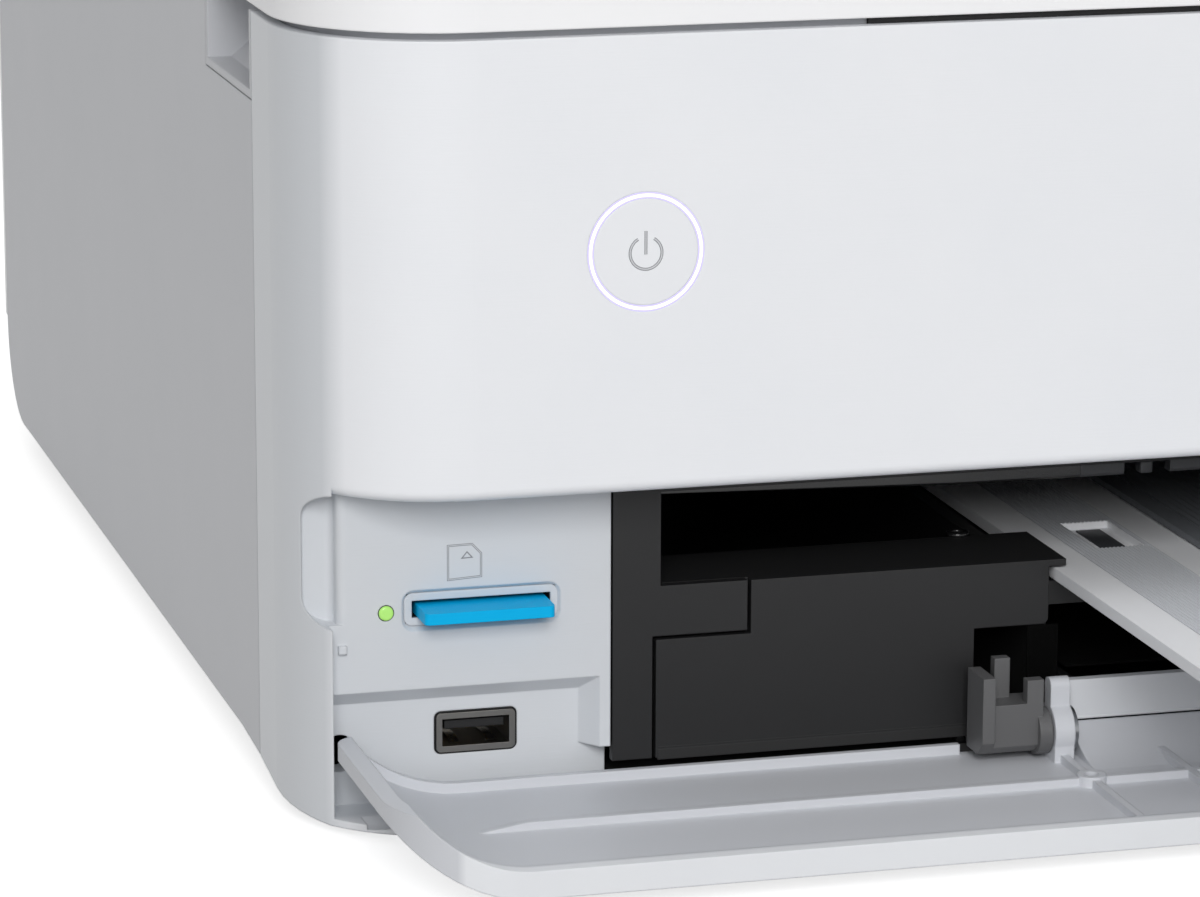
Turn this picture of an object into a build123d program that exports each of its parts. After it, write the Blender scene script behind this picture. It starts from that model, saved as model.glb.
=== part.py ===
from build123d import *
import os

# Multifunction printer with its front cover open. Millimetres, X to the right as seen from the
# front, Y to the rear, Z up. The origin is on the table, under the middle of the model's box.

# Body envelope
body_width = 523.0
body_depth = 379.0
body_height = 169.0
front_corner_radius = 30.0
rear_corner_radius = 34.5
wall = 2.5
shut_line = 0.4
clearance = 0.3
running_fit = 0.05

# Heights of the main levels
foot_height = 3.5
pan_thickness = 2.5
side_bottom = 7.0
corner_bottom = 1.8
fascia_bottom = 62.7
lid_height = 9.1
scanner_gap = 1.4
scanner_height = 13.5
lid_gap = 0.5
rear_bottom = 29.0

# Depths of the main planes, behind the front of the fascia
seam_depth = 44.9
tray_reach = 66.0
panel_depth = 15.2
pan_front = 18.5
scanner_depth = 322.0

# Axis of the front cover, and the room that its lower edge needs round it
hinge_depth = 7.3
hinge_z = 11.0
cover_sweep = 10.6

fascia_top = body_height - lid_height - lid_gap - scanner_height - scanner_gap
scanner_bottom = fascia_top + scanner_gap
scanner_top = scanner_bottom + scanner_height
lid_bottom = scanner_top + lid_gap
pan_top = foot_height + pan_thickness
half_width = body_width / 2
fascia_y = (tray_reach - body_depth) / 2
rear_seam = body_depth - rear_corner_radius
skin_top = fascia_bottom - shut_line


def from_left(distance):
    """X of a place that lies this far inside the left wall."""
    return distance - half_width


def from_right(distance):
    """X of a place that lies this far inside the right wall."""
    return half_width - distance


def depth(distance):
    """World Y of a place that lies this far behind the front of the fascia."""
    return fascia_y + distance


def facing(distance):
    """Sketch plane that faces the front at a depth: its x is X and its y is the height."""
    return Plane.XZ.offset(-depth(distance))


def block(x, d, z, mode=Mode.ADD):
    """Puts a box in the current part, from its spans along X, depth and height."""
    middle = ((x[0] + x[1]) / 2, depth((d[0] + d[1]) / 2), (z[0] + z[1]) / 2)
    with Locations(middle):
        Box(x[1] - x[0], d[1] - d[0], z[1] - z[0], mode=mode)


def rod(x, d, z, radius, mode=Mode.ADD):
    """Puts a round bar along X in the current part."""
    with Locations(Location(((x[0] + x[1]) / 2, depth(d), z), (0, 90, 0))):
        Cylinder(radius, x[1] - x[0], mode=mode)


def outline(inset, front, rear):
    """The body seen from above, drawn in from its walls and kept between two depths."""
    with BuildSketch() as plan:
        with Locations((0, depth(body_depth / 2))):
            Rectangle(body_width - 2 * inset, body_depth - 2 * inset)
        fillet(plan.vertices().group_by(Axis.Y)[0], max(front_corner_radius - inset, 1.0))
        fillet(plan.vertices().group_by(Axis.Y)[-1], max(rear_corner_radius - inset, 1.0))
        with Locations((0, depth((front + rear) / 2))):
            Rectangle(body_width, rear - front, mode=Mode.INTERSECT)
    return plan.sketch


def slab(inset, z, front=-1.0, rear=body_depth + 1.0, mode=Mode.ADD):
    """Puts a plate with the body's outline in the current part."""
    plan = outline(inset, front, rear).moved(Location((0, 0, z[0])))
    extrude(plan, amount=z[1] - z[0], mode=mode)


def save(part, name):
    """Labels a finished piece and writes its file."""
    part.label = name
    export_step(part, f"parts/{name}.step")


os.makedirs("parts", exist_ok=True)

# Base pan with the two walls that guide the cassettes and carry the output tray
pan_inset = 6.0
pan_rear = 335.0
bay_half_width = 117.5
bay_wall = 3.0
bay_rear = 300.0
tray_bottom = 37.2
rail_top = tray_bottom - clearance
upper_ledge_inner = 78.0
upper_ledge_top = 21.6
upper_ledge_front = 60.0
runner_top = 11.3
runner_width = 5.5
beam_bottom = 31.7
beam_depth = 4.5
deck_bottom = fascia_top - 6.1
post_x = from_right(19.5)
post_width = 9.0
post_front = 94.0
post_rear = 318.0
foot_radius = 9.0
foot_recess = 1.0
foot_inset = 56.5
foot_front = 60.0
foot_rear = 315.0
foot_xs = (from_left(foot_inset), from_right(foot_inset))
foot_places = [(x, depth(d), foot_height) for x in foot_xs for d in (foot_front, foot_rear)]
panel_right = from_left(58.9)
panel_thickness = 9.0
panel_back = panel_depth + panel_thickness
seated = (Align.CENTER, Align.CENTER, Align.MIN)
hanging = (Align.CENTER, Align.CENTER, Align.MAX)

with BuildPart() as base_pan:
    slab(pan_inset, (foot_height, pan_top), front=pan_front, rear=pan_rear)
    block(
        (-half_width, panel_right + clearance),
        (0, panel_back + clearance),
        (0, body_height),
        mode=Mode.SUBTRACT,
    )
    block(
        (pan_inset - half_width, half_width - pan_inset),
        (pan_rear - pan_thickness, pan_rear),
        (pan_top, rear_bottom - clearance),
    )
    for sign in (-1, 1):
        inner = sign * bay_half_width
        outer = sign * (bay_half_width + bay_wall)
        runner = sign * (bay_half_width - runner_width)
        ledge = sign * upper_ledge_inner
        block(sorted((inner, outer)), (pan_front, bay_rear), (pan_top, rail_top))
        block(sorted((runner, inner)), (pan_front, bay_rear), (pan_top, runner_top))
        block(
            sorted((ledge, inner)),
            (upper_ledge_front, bay_rear - 30),
            (upper_ledge_top - 1.5, upper_ledge_top),
        )
        for post_d in (post_front, post_rear):
            block(
                sorted((sign * post_x, sign * (post_x + post_width))),
                (post_d, post_d + post_width),
                (pan_top, deck_bottom),
            )
    block(
        (-bay_half_width, bay_half_width),
        (pan_front, pan_front + beam_depth),
        (beam_bottom, rail_top - 0.6),
    )
    with Locations(*foot_places):
        Cylinder(foot_radius - 2, foot_recess, align=seated, mode=Mode.SUBTRACT)
save(base_pan.part, "base_pan")

with BuildPart() as feet:
    with Locations(*foot_places):
        Cylinder(foot_radius, foot_height, align=hanging)
    chamfer(feet.edges().group_by(Axis.Z)[0], 0.8)
    with Locations(*foot_places):
        Cylinder(foot_radius - 2 - running_fit, foot_recess - 0.1, align=seated)
save(feet.part, "feet")

# Hand grips in the top of both side walls
grip_rear = 88.0
grip_bottom = fascia_top - 16.3
grip_inside = 14.5
grip_wall = 1.5

# Side covers
lower_rear_radius = 22.0
side_front = seam_depth + shut_line
side_level_from = 62.0
side_nose_bottom = 6.0

for sign, name in ((-1, "left_side_cover"), (1, "right_side_cover")):
    with BuildPart() as side_cover:
        with BuildSketch(Plane.YZ.offset(sign * half_width)) as side_profile:
            with BuildLine():
                Polyline(
                    (depth(side_front), side_nose_bottom),
                    (depth(side_level_from), side_bottom),
                    (depth(rear_seam), side_bottom),
                    (depth(rear_seam), fascia_top),
                    (depth(side_front), fascia_top),
                    close=True,
                )
            make_face()
            corner = side_profile.vertices().group_by(Axis.X)[-1].sort_by(Axis.Y)[0]
            fillet(corner, lower_rear_radius)
            with Locations((depth((side_front + grip_rear) / 2 - 10), (grip_bottom + fascia_top) / 2 + 10)):
                Rectangle(grip_rear - side_front + 20, fascia_top - grip_bottom + 20, mode=Mode.SUBTRACT)
        extrude(amount=-sign * wall)
    save(side_cover.part, name)

with BuildPart() as grip_cups:
    for sign in (-1, 1):
        skin = sign * half_width
        deep = sign * (half_width - grip_inside)
        cup_d = (side_front, grip_rear - clearance)
        cup_z = (grip_bottom + clearance, fascia_top)
        block(sorted((skin, deep)), cup_d, cup_z)
        hollow_d = (cup_d[0] + grip_wall, cup_d[1] - grip_wall)
        block(
            sorted((skin, deep + sign * grip_wall)),
            hollow_d,
            (cup_z[0] + grip_wall, cup_z[1]),
            mode=Mode.SUBTRACT,
        )
        with BuildSketch(Plane.XZ.offset(-depth(hollow_d[1]))) as ramp:
            with BuildLine():
                Polyline(
                    (deep + sign * grip_wall, cup_z[0] + grip_wall),
                    (skin - sign * 4.5, cup_z[0] + grip_wall),
                    (deep + sign * grip_wall, cup_z[0] + grip_wall + 7),
                    close=True,
                )
            make_face()
        extrude(ramp.sketch, amount=hollow_d[1] - hollow_d[0])
save(grip_cups.part, "grip_cups")

# Rear shell, which wraps both rear corners
rear_shell_front = rear_seam + shut_line
inlet_x = from_left(71.5)
inlet_z = 60.0
inlet_width = 24.0
inlet_height = 17.0
usb_b_x = from_right(141.5)
usb_b_z = 60.0
usb_b_width = 12.0
usb_b_height = 10.8
lan_x = from_right(111.5)
lan_width = 16.0
lan_height = 13.5
rear_ports = (
    (inlet_x, inlet_z, inlet_width, inlet_height),
    (usb_b_x, usb_b_z, usb_b_width, usb_b_height),
    (lan_x, usb_b_z, lan_width, lan_height),
)

with BuildPart() as rear_cover:
    slab(0, (rear_bottom, fascia_top))
    slab(wall, (rear_bottom, fascia_top), mode=Mode.SUBTRACT)
    block((-half_width, half_width), (-1, rear_shell_front), (0, body_height), mode=Mode.SUBTRACT)
    slab(wall + clearance, (rear_bottom, rear_bottom + wall), front=pan_rear - pan_thickness)
    slab(wall - 0.1, (rear_bottom, rear_bottom + wall), front=rear_shell_front)
    with BuildSketch(facing(body_depth)):
        for x, z, width, height in rear_ports:
            with Locations((x, z)):
                Rectangle(width + 2 * clearance, height + 2 * clearance)
    extrude(amount=wall, mode=Mode.SUBTRACT)
    with BuildSketch(facing(body_depth)):
        with GridLocations(7, 0, 12, 1):
            with Locations((0, 105)):
                SlotOverall(24, 2.6, rotation=90)
    extrude(amount=wall, mode=Mode.SUBTRACT)
save(rear_cover.part, "rear_cover")

# Lower left moulding: corner skin, finger pocket and the stepped panel
opening_x = from_left(6.6)
skin_thickness = 2.2
pocket_x = from_left(2.5)
pocket_bottom = 37.9
pocket_radius = 5.0
pocket_depth = 4.2
pocket_floor = panel_depth + pocket_depth
pocket_right = from_left(8.3)
pocket_round = 1.6
step_z = 25.1
step_depth = 4.0
step_slope = 3.0
step_right = from_left(56.9)
port_panel_depth = panel_depth + step_depth
floor_thickness = 1.4
floor_right = from_left(23.5)
panel_bottom = corner_bottom + floor_thickness
sill_left = from_left(11.5)
sill_right = from_left(16.5)

card_x = from_left(35.0)
card_z = 39.5
card_width = 24.0
card_thickness = 2.1
card_length = 32.0
card_front = 9.0
slot_width = 25.8
slot_wall = 0.9
slot_height = 3.7
slot_x = card_x - 0.2
slot_z = card_z + 0.45
funnel_width = 29.4
funnel_height = 7.6
funnel_depth = 1.2

port_x = from_left(34.6)
port_z = 15.4
port_opening_width = 12.5
port_opening_height = 5.12
port_rim = 1.1
port_edge = 0.4
port_corner_radius = 0.9
port_length = 16.0
port_hole_width = port_opening_width + 2 * (port_rim + port_edge)
port_hole_height = port_opening_height + 2 * (port_rim + port_edge)

led_x = from_left(17.2)
led_z = 39.6
led_radius = 1.35
peg_x = from_left(9.1)
peg_z = 33.4
peg_size = 1.5
pivot_hole_x = from_left(9.3)
pivot_hole_z = 12.9
pivot_hole_width = 5.2
pivot_hole_height = 7.0
border_bottom = 11.7
fascia_lip = 2.0
corner_top = fascia_bottom + fascia_lip + 0.4

with BuildPart() as pocket_void:
    with BuildSketch(facing(-1)):
        with Locations(((pocket_x + opening_x) / 2 + 5, (pocket_bottom + fascia_bottom) / 2)):
            RectangleRounded(opening_x - pocket_x + 10, fascia_bottom - pocket_bottom, pocket_radius)
    extrude(amount=-(pocket_floor + 1))
    block((pocket_right, half_width), (-2, body_depth), (0, body_height), mode=Mode.SUBTRACT)

with BuildPart() as step_void:
    with BuildSketch(Plane.YZ.offset(opening_x)):
        with BuildLine():
            Polyline(
                (depth(panel_depth - 5), panel_bottom),
                (depth(port_panel_depth), panel_bottom),
                (depth(port_panel_depth), step_z - step_slope),
                (depth(panel_depth), step_z),
                (depth(panel_depth - 5), step_z),
                close=True,
            )
        make_face()
    extrude(amount=step_right - opening_x)
    with BuildSketch(Plane.XY.offset(panel_bottom)):
        with BuildLine():
            Polyline(
                (opening_x, depth(panel_depth - 5)),
                (step_right, depth(panel_depth - 5)),
                (step_right, depth(panel_depth)),
                (step_right - step_slope, depth(port_panel_depth)),
                (opening_x, depth(port_panel_depth)),
                close=True,
            )
        make_face()
    extrude(amount=step_z, mode=Mode.INTERSECT)
    block((step_right - step_slope, panel_right + 1), (0, port_panel_depth), (panel_bottom, border_bottom))

with BuildPart() as corner:
    slab(0, (corner_bottom, corner_top), rear=seam_depth)
    slab(skin_thickness, (corner_bottom + floor_thickness, corner_top), mode=Mode.SUBTRACT)
    slab(0, (pocket_bottom - 1.5, corner_top), front=panel_depth - 4, rear=panel_back + 3)
    slab(pocket_depth + 1.4, (pocket_bottom, corner_top), front=panel_depth - 4, mode=Mode.SUBTRACT)
    block(
        (opening_x, half_width),
        (-1, body_depth),
        (corner_bottom + floor_thickness, body_height),
        mode=Mode.SUBTRACT,
    )
    block((floor_right, half_width), (-1, body_depth), (0, body_height), mode=Mode.SUBTRACT)
    block(
        (opening_x - skin_thickness, opening_x),
        (front_corner_radius / 2, panel_back),
        (corner_bottom, corner_top),
    )
    block((opening_x - skin_thickness, panel_right), (panel_depth, panel_back), (panel_bottom, corner_top))
    with BuildSketch(Plane.XY.offset(fascia_bottom)) as soffit:
        add(outline(fascia_lip, -1.0, panel_back))
        with Locations(((opening_x - skin_thickness + panel_right) / 2, depth(panel_back / 2))):
            Rectangle(panel_right - opening_x + skin_thickness, panel_back + 2, mode=Mode.INTERSECT)
    extrude(soffit.sketch, amount=corner_top - fascia_bottom)
    add(pocket_void.part, mode=Mode.SUBTRACT)
    add(step_void.part, mode=Mode.SUBTRACT)
    with BuildSketch(Plane.YZ.offset(-half_width)) as underside:
        with BuildLine():
            Polyline(
                (depth(12), -1),
                (depth(12), corner_bottom),
                (depth(seam_depth + 1), side_nose_bottom),
                (depth(seam_depth + 1), -1),
                close=True,
            )
        make_face()
    extrude(underside.sketch, amount=half_width, mode=Mode.SUBTRACT)
    # room for the cover, which reaches less far round its axis towards its rounded left end
    sweep_left = opening_x
    for sweep_right, radius, lowest in (
        (sill_left, 7.6, 9.2),
        (sill_right, 8.8, 6.2),
        (floor_right + 1, cover_sweep, 0),
    ):
        band = (sweep_left, sweep_right)
        rod(band, hinge_depth, hinge_z, radius, mode=Mode.SUBTRACT)
        block(band, (-1, hinge_depth), (lowest, hinge_z), mode=Mode.SUBTRACT)
        sweep_left = sweep_right
    # funnel and hole of the card slot
    with BuildSketch(facing(panel_depth)) as funnel_mouth:
        with Locations((slot_x, slot_z - 0.3)):
            RectangleRounded(funnel_width, funnel_height, 2.2)
    with BuildSketch(facing(panel_depth + funnel_depth)) as funnel_floor:
        with Locations((slot_x, slot_z - 0.3)):
            RectangleRounded(funnel_width - 1.6, funnel_height - 1.6, 1.6)
    loft([funnel_mouth.sketch, funnel_floor.sketch], mode=Mode.SUBTRACT)
    with BuildSketch(facing(panel_depth)) as through_holes:
        with Locations((slot_x, slot_z)):
            Rectangle(slot_width + 2 * (slot_wall + running_fit), slot_height + 2 * (slot_wall + running_fit))
        with Locations((led_x, led_z)):
            Circle(led_radius + running_fit)
        with Locations((port_x, port_z)):
            RectangleRounded(port_hole_width, port_hole_height, port_corner_radius + port_edge)
        with Locations((pivot_hole_x, pivot_hole_z)):
            RectangleRounded(pivot_hole_width, pivot_hole_height, pivot_hole_width / 2 - 0.1)
    extrude(through_holes.sketch, amount=-panel_thickness, mode=Mode.SUBTRACT)
    block(
        (peg_x - peg_size / 2, peg_x + peg_size / 2),
        (panel_depth - 0.8, panel_depth + 1),
        (peg_z - peg_size / 2, peg_z + peg_size / 2),
    )

# Front fascia in one moulding with the lower left corner, and its holes
power_x = from_left(60.9)
power_z = fascia_bottom + 43.4
ring_radius = 10.6
ring_band = 1.0
control_width = 151.0
control_bottom = fascia_bottom + 9.8
control_height = fascia_top - 7.3 - control_bottom
control_depth = 8.0
control_corner_radius = 3.6
control_top = control_bottom + control_height
control_axis_depth = control_depth / 2
control_axis_z = control_top - control_depth / 2
control_pin_radius = 1.5
boss_width = 7.0

with BuildPart() as front_fascia:
    slab(0, (fascia_bottom, fascia_top))
    fillet(front_fascia.edges().group_by(Axis.Z)[0], fascia_lip)
    slab(wall, (fascia_bottom, fascia_top), mode=Mode.SUBTRACT)
    block((-half_width, half_width), (seam_depth, body_depth + 1), (0, body_height), mode=Mode.SUBTRACT)
    with BuildSketch(facing(0)):
        with Locations((power_x, power_z)):
            Circle(ring_radius + running_fit)
        with Locations((0, (control_bottom + control_top) / 2)):
            RectangleRounded(
                control_width + 2 * shut_line,
                control_height + 2 * shut_line,
                control_corner_radius + shut_line,
            )
    extrude(amount=-wall, mode=Mode.SUBTRACT)
    for sign in (-1, 1):
        near = sign * (control_width / 2 + shut_line)
        block(
            sorted((near, near + sign * boss_width)),
            (wall, control_depth + 3),
            (control_axis_z - 5, control_axis_z + 5),
        )
        rod(
            sorted((near, near + sign * (boss_width - 2))),
            control_axis_depth,
            control_axis_z,
            control_pin_radius + running_fit,
            mode=Mode.SUBTRACT,
        )
    cradle_reach = control_width / 2 + shut_line + boss_width
    block(
        (-cradle_reach, cradle_reach),
        (control_depth + 3, control_depth + 4.5),
        (control_bottom - 2, control_axis_z + 5),
    )
    add(corner.part)
    pocket_middle = (pocket_bottom + fascia_bottom) / 2
    for d in (panel_depth, pocket_floor):
        upright = front_fascia.edges().sort_by_distance((pocket_right, depth(d), pocket_middle))[0]
        fillet(upright, pocket_round)
save(front_fascia.part, "front_fascia")

# Power button: a disc that presses in, inside a fixed light ring, on a switch block
button_travel = 0.6
button_radius = ring_radius - ring_band - running_fit
switch_depth = 14.0

with BuildPart() as power_ring_light:
    with BuildSketch(facing(0)):
        with Locations((power_x, power_z)):
            Circle(ring_radius)
            Circle(ring_radius - ring_band, mode=Mode.SUBTRACT)
    extrude(amount=-wall)
save(power_ring_light.part, "power_ring_light")

with BuildPart() as power_button:
    with BuildSketch(facing(0)):
        with Locations((power_x, power_z)):
            Circle(button_radius)
    extrude(amount=-wall)
    with BuildSketch(facing(wall)):
        with Locations((power_x, power_z)):
            Circle(2.5)
    extrude(amount=-1.5)
save(power_button.part, "power_button")

with BuildPart() as power_switch:
    block(
        (power_x - 14, power_x + 14),
        (wall + 1.5 + button_travel + clearance, switch_depth),
        (power_z - 14, power_z + 14),
    )
    for sign in (-1, 1):
        post = power_x + sign * 12.5
        block((post - 1.5, post + 1.5), (wall, switch_depth - 4), (power_z - 14, power_z + 14))
save(power_switch.part, "power_switch")

# Control panel that tilts out about pins at its top
display_width = 96.0
display_height = control_height - 9.7
display_thickness = 1.2

with BuildPart() as control_panel:
    with BuildSketch(facing(0)):
        with Locations((0, (control_bottom + control_top) / 2)):
            RectangleRounded(control_width, control_height, control_corner_radius)
    extrude(amount=-control_depth)
    upper_edges = control_panel.edges().filter_by(Axis.X).group_by(Axis.Z)[-1]
    fillet(upper_edges, control_depth / 2 - 0.1)
    with BuildSketch(facing(0)):
        with Locations((0, (control_bottom + control_top) / 2)):
            RectangleRounded(display_width + 2 * running_fit, display_height + 2 * running_fit, 2)
    extrude(amount=-display_thickness, mode=Mode.SUBTRACT)
    pin_reach = control_width / 2 + shut_line + boss_width - 3
    rod((-pin_reach, pin_reach), control_axis_depth, control_axis_z, control_pin_radius)
save(control_panel.part, "control_panel")

with BuildPart() as display_glass:
    with BuildSketch(facing(0)):
        with Locations((0, (control_bottom + control_top) / 2)):
            RectangleRounded(display_width, display_height, 2)
    extrude(amount=-display_thickness)
save(display_glass.part, "display_glass")

# Card slot, memory card, status light and host port
slot_depth = 40.0
liner_front = panel_depth + funnel_depth

with BuildPart() as card_slot:
    with BuildSketch(facing(liner_front)):
        with Locations((slot_x, slot_z)):
            Rectangle(slot_width + 2 * slot_wall, slot_height + 2 * slot_wall)
    extrude(amount=-slot_depth)
    with BuildSketch(facing(liner_front)):
        with Locations((slot_x, slot_z)):
            Rectangle(slot_width, slot_height)
    extrude(amount=-(slot_depth - slot_wall), mode=Mode.SUBTRACT)
save(card_slot.part, "card_slot")

with BuildPart() as memory_card:
    with BuildSketch(Plane.XY.offset(card_z - card_thickness / 2)) as card_face:
        with Locations((card_x, depth(card_front + card_length / 2))):
            Rectangle(card_width, card_length)
        fillet(card_face.vertices().group_by(Axis.Y)[0], 1.0)
    extrude(amount=card_thickness)
save(memory_card.part, "memory_card")

led_dome = 0.5
with BuildPart() as status_light:
    with BuildSketch(facing(panel_depth - led_dome)):
        with Locations((led_x, led_z)):
            Circle(led_radius)
    extrude(amount=-(panel_thickness + led_dome))
    fillet(status_light.edges().filter_by(GeomType.CIRCLE).sort_by(Axis.Y)[0], led_dome * 0.9)
save(status_light.part, "status_light")

port_frame_depth = 3.0
with BuildPart() as port_frame:
    with BuildSketch(facing(port_panel_depth)):
        with Locations((port_x, port_z)):
            RectangleRounded(
                port_hole_width - 2 * running_fit,
                port_hole_height - 2 * running_fit,
                port_corner_radius + port_edge - running_fit,
            )
            RectangleRounded(
                port_opening_width + 2 * (port_rim + running_fit),
                port_opening_height + 2 * (port_rim + running_fit),
                port_corner_radius + running_fit,
                mode=Mode.SUBTRACT,
            )
    extrude(amount=-port_frame_depth)
save(port_frame.part, "port_frame")

port_front = port_panel_depth - 0.3
with BuildPart() as port_shell:
    with BuildSketch(facing(port_front)):
        with Locations((port_x, port_z)):
            RectangleRounded(
                port_opening_width + 2 * port_rim,
                port_opening_height + 2 * port_rim,
                port_corner_radius,
            )
    extrude(amount=-port_length)
    with BuildSketch(facing(port_front)):
        with Locations((port_x, port_z)):
            Rectangle(port_opening_width, port_opening_height)
    extrude(amount=-(port_length - port_rim), mode=Mode.SUBTRACT)
save(port_shell.part, "port_shell")

tongue_width = 11.1
tongue_thickness = 1.5
tongue_gap = 0.7
tongue_recess = 1.4
tongue_top = port_z + port_opening_height / 2 - tongue_gap
with BuildPart() as port_tongue:
    block(
        (port_x - tongue_width / 2, port_x + tongue_width / 2),
        (port_front + tongue_recess, port_front + port_length - port_rim),
        (tongue_top - tongue_thickness, tongue_top),
    )
save(port_tongue.part, "port_tongue")

# Black inner frame: a left piece and a stepped plate, with a groove between them
groove = 0.7
frame_thickness = 2.0
frame_left = panel_right + shut_line
frame_bottom = 8.8
strip_right = from_left(66.8)
step_x = from_left(85.5)
step_height = 31.1
mouth_left = from_left(68.3)
mouth_right = from_right(133.5)
mouth_bottom = 41.2
mouth_top = 58.8
mouth_wall = 1.5
liner_rear = 95.0
block_right = -bay_half_width - 0.8
block_bottom = 29.0
plate_right = block_right - 14.5
frame_right = from_right(115.9)
bracket_bay_right = bay_half_width + 17.1
shelf_rear = 36.5
shelf_thickness = 1.3
shelf_lip = 3.3
plate_left = strip_right + groove

with BuildPart() as inner_frame:
    with BuildSketch(facing(panel_depth)):
        with BuildLine():
            Polyline(
                (frame_left, frame_bottom),
                (strip_right, frame_bottom),
                (strip_right, step_height + groove),
                (step_x - groove, step_height + groove),
                (step_x - groove, mouth_bottom),
                (mouth_left, mouth_bottom),
                (mouth_left, mouth_top),
                (mouth_right, mouth_top),
                (mouth_right, mouth_bottom),
                (-block_right, mouth_bottom),
                (-block_right, block_bottom),
                (bracket_bay_right, block_bottom),
                (bracket_bay_right, frame_bottom),
                (frame_right, frame_bottom),
                (frame_right, skin_top),
                (frame_left, skin_top),
                close=True,
            )
        make_face()
    extrude(amount=-frame_thickness)
    block((frame_left, frame_right), (panel_depth, liner_rear), (skin_top - mouth_wall, skin_top))
    block((mouth_left - mouth_wall, mouth_left), (panel_depth, liner_rear), (mouth_bottom, skin_top))
    block((mouth_right, mouth_right + mouth_wall), (panel_depth, liner_rear), (mouth_bottom, skin_top))
    block(
        (bracket_bay_right, bracket_bay_right + mouth_wall),
        (panel_depth, shelf_rear),
        (frame_bottom, block_bottom),
    )
    block(
        (bracket_bay_right, bracket_bay_right + mouth_wall),
        (pan_front + 1, shelf_rear),
        (pan_top, frame_bottom),
    )
save(inner_frame.part, "inner_frame")

with BuildPart() as inner_plate:
    with BuildSketch(facing(panel_depth)) as plate_face:
        with BuildLine():
            Polyline(
                (plate_left, frame_bottom),
                (plate_right, frame_bottom),
                (plate_right, block_bottom),
                (block_right, block_bottom),
                (block_right, mouth_bottom),
                (step_x, mouth_bottom),
                (step_x, step_height),
                (plate_left, step_height),
                close=True,
            )
        make_face()
        lower_block_corner = plate_face.vertices().sort_by_distance((block_right, block_bottom))[0]
        fillet(lower_block_corner, 1.2)
    extrude(amount=-frame_thickness)
    shelf_z = (mouth_bottom - shelf_thickness, mouth_bottom)
    block((step_x, block_right + shelf_lip), (panel_depth, shelf_rear), shelf_z)
    block((mouth_left + 0.2, step_x), (panel_depth + frame_thickness + 0.2, shelf_rear), shelf_z)
    block(
        (block_right - mouth_wall, block_right),
        (panel_depth, pan_front - clearance),
        (block_bottom + 1.2, mouth_bottom),
    )
    block(
        (plate_right, block_right - 1.2),
        (panel_depth, pan_front - clearance),
        (block_bottom, block_bottom + mouth_wall),
    )
    block(
        (plate_right - mouth_wall, plate_right),
        (panel_depth, shelf_rear + 4),
        (frame_bottom, block_bottom + 1),
    )
    block((plate_right - mouth_wall, plate_right), (pan_front + 1, shelf_rear + 4), (pan_top, frame_bottom))
save(inner_plate.part, "inner_plate")

# Front cover, modelled closed and then turned down about its hinge
pin_radius = 2.0
cover_bottom = 4.0
cover_top = skin_top - 0.2
cover_left = opening_x + shut_line
cover_right = from_right(115.5)
cover_skin = 2.0
cover_rim = 5.0
cover_rim_width = 3.4
cover_corner_radius = 20.0
cover_lower_radius = 5.0
cover_deepest = 13.8
rib_height = 1.5
rib_width = 1.5
rib_z = 29.5
rib_taper = 11.0
bead_width = 1.5
bead_inset = 3.9
bead_gap_half = bay_half_width + 18.5
boss_radius = 2.7
boss_hole_radius = 1.3
knuckle_inner = bay_half_width - clearance
knuckle_width = 3.8
knuckle_outer = knuckle_inner + knuckle_width
knuckle_radius = 5.0
finger_length = 10.0
finger_width = 3.4
upstand_half_width = knuckle_inner - 1.9
upstand_foot_z = 24.3
upstand_top_z = 7.7
upstand_depth = 7.5
long_rib_left = from_left(25.5)
boss_x = knuckle_inner + knuckle_width / 2
side_rib_x = 99.8
middle_rib_x = 33.3
cross_ribs = [side * x for side in (-1, 1) for x in (middle_rib_x, side_rib_x, boss_x)]

hollow_bottom = cover_bottom - cover_corner_radius
hollow_top = cover_top - cover_rim_width

with BuildPart() as cover_bead:
    slab(0, (cover_bottom, cover_bottom + bead_width))
    slab(bead_inset, (cover_bottom, cover_bottom + bead_width), mode=Mode.SUBTRACT)
    block((-bead_gap_half, bead_gap_half), (-1, body_depth), (0, body_height), mode=Mode.SUBTRACT)

with BuildPart() as cover_hollow:
    slab(cover_skin, (cover_bottom - 1, cover_top))
    with BuildSketch(facing(-1)) as hollow_face:
        with Locations(((cover_left + cover_right) / 2, (hollow_bottom + hollow_top) / 2)):
            Rectangle(cover_right - cover_left - 2 * cover_rim_width, hollow_top - hollow_bottom)
        hollow_corners = hollow_face.vertices().group_by(Axis.Y)[-1].sort_by(Axis.X)
        fillet(hollow_corners[0], cover_corner_radius - cover_rim_width)
    extrude(amount=-(cover_deepest + 2), mode=Mode.INTERSECT)
    add(cover_bead.part, mode=Mode.SUBTRACT)

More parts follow.
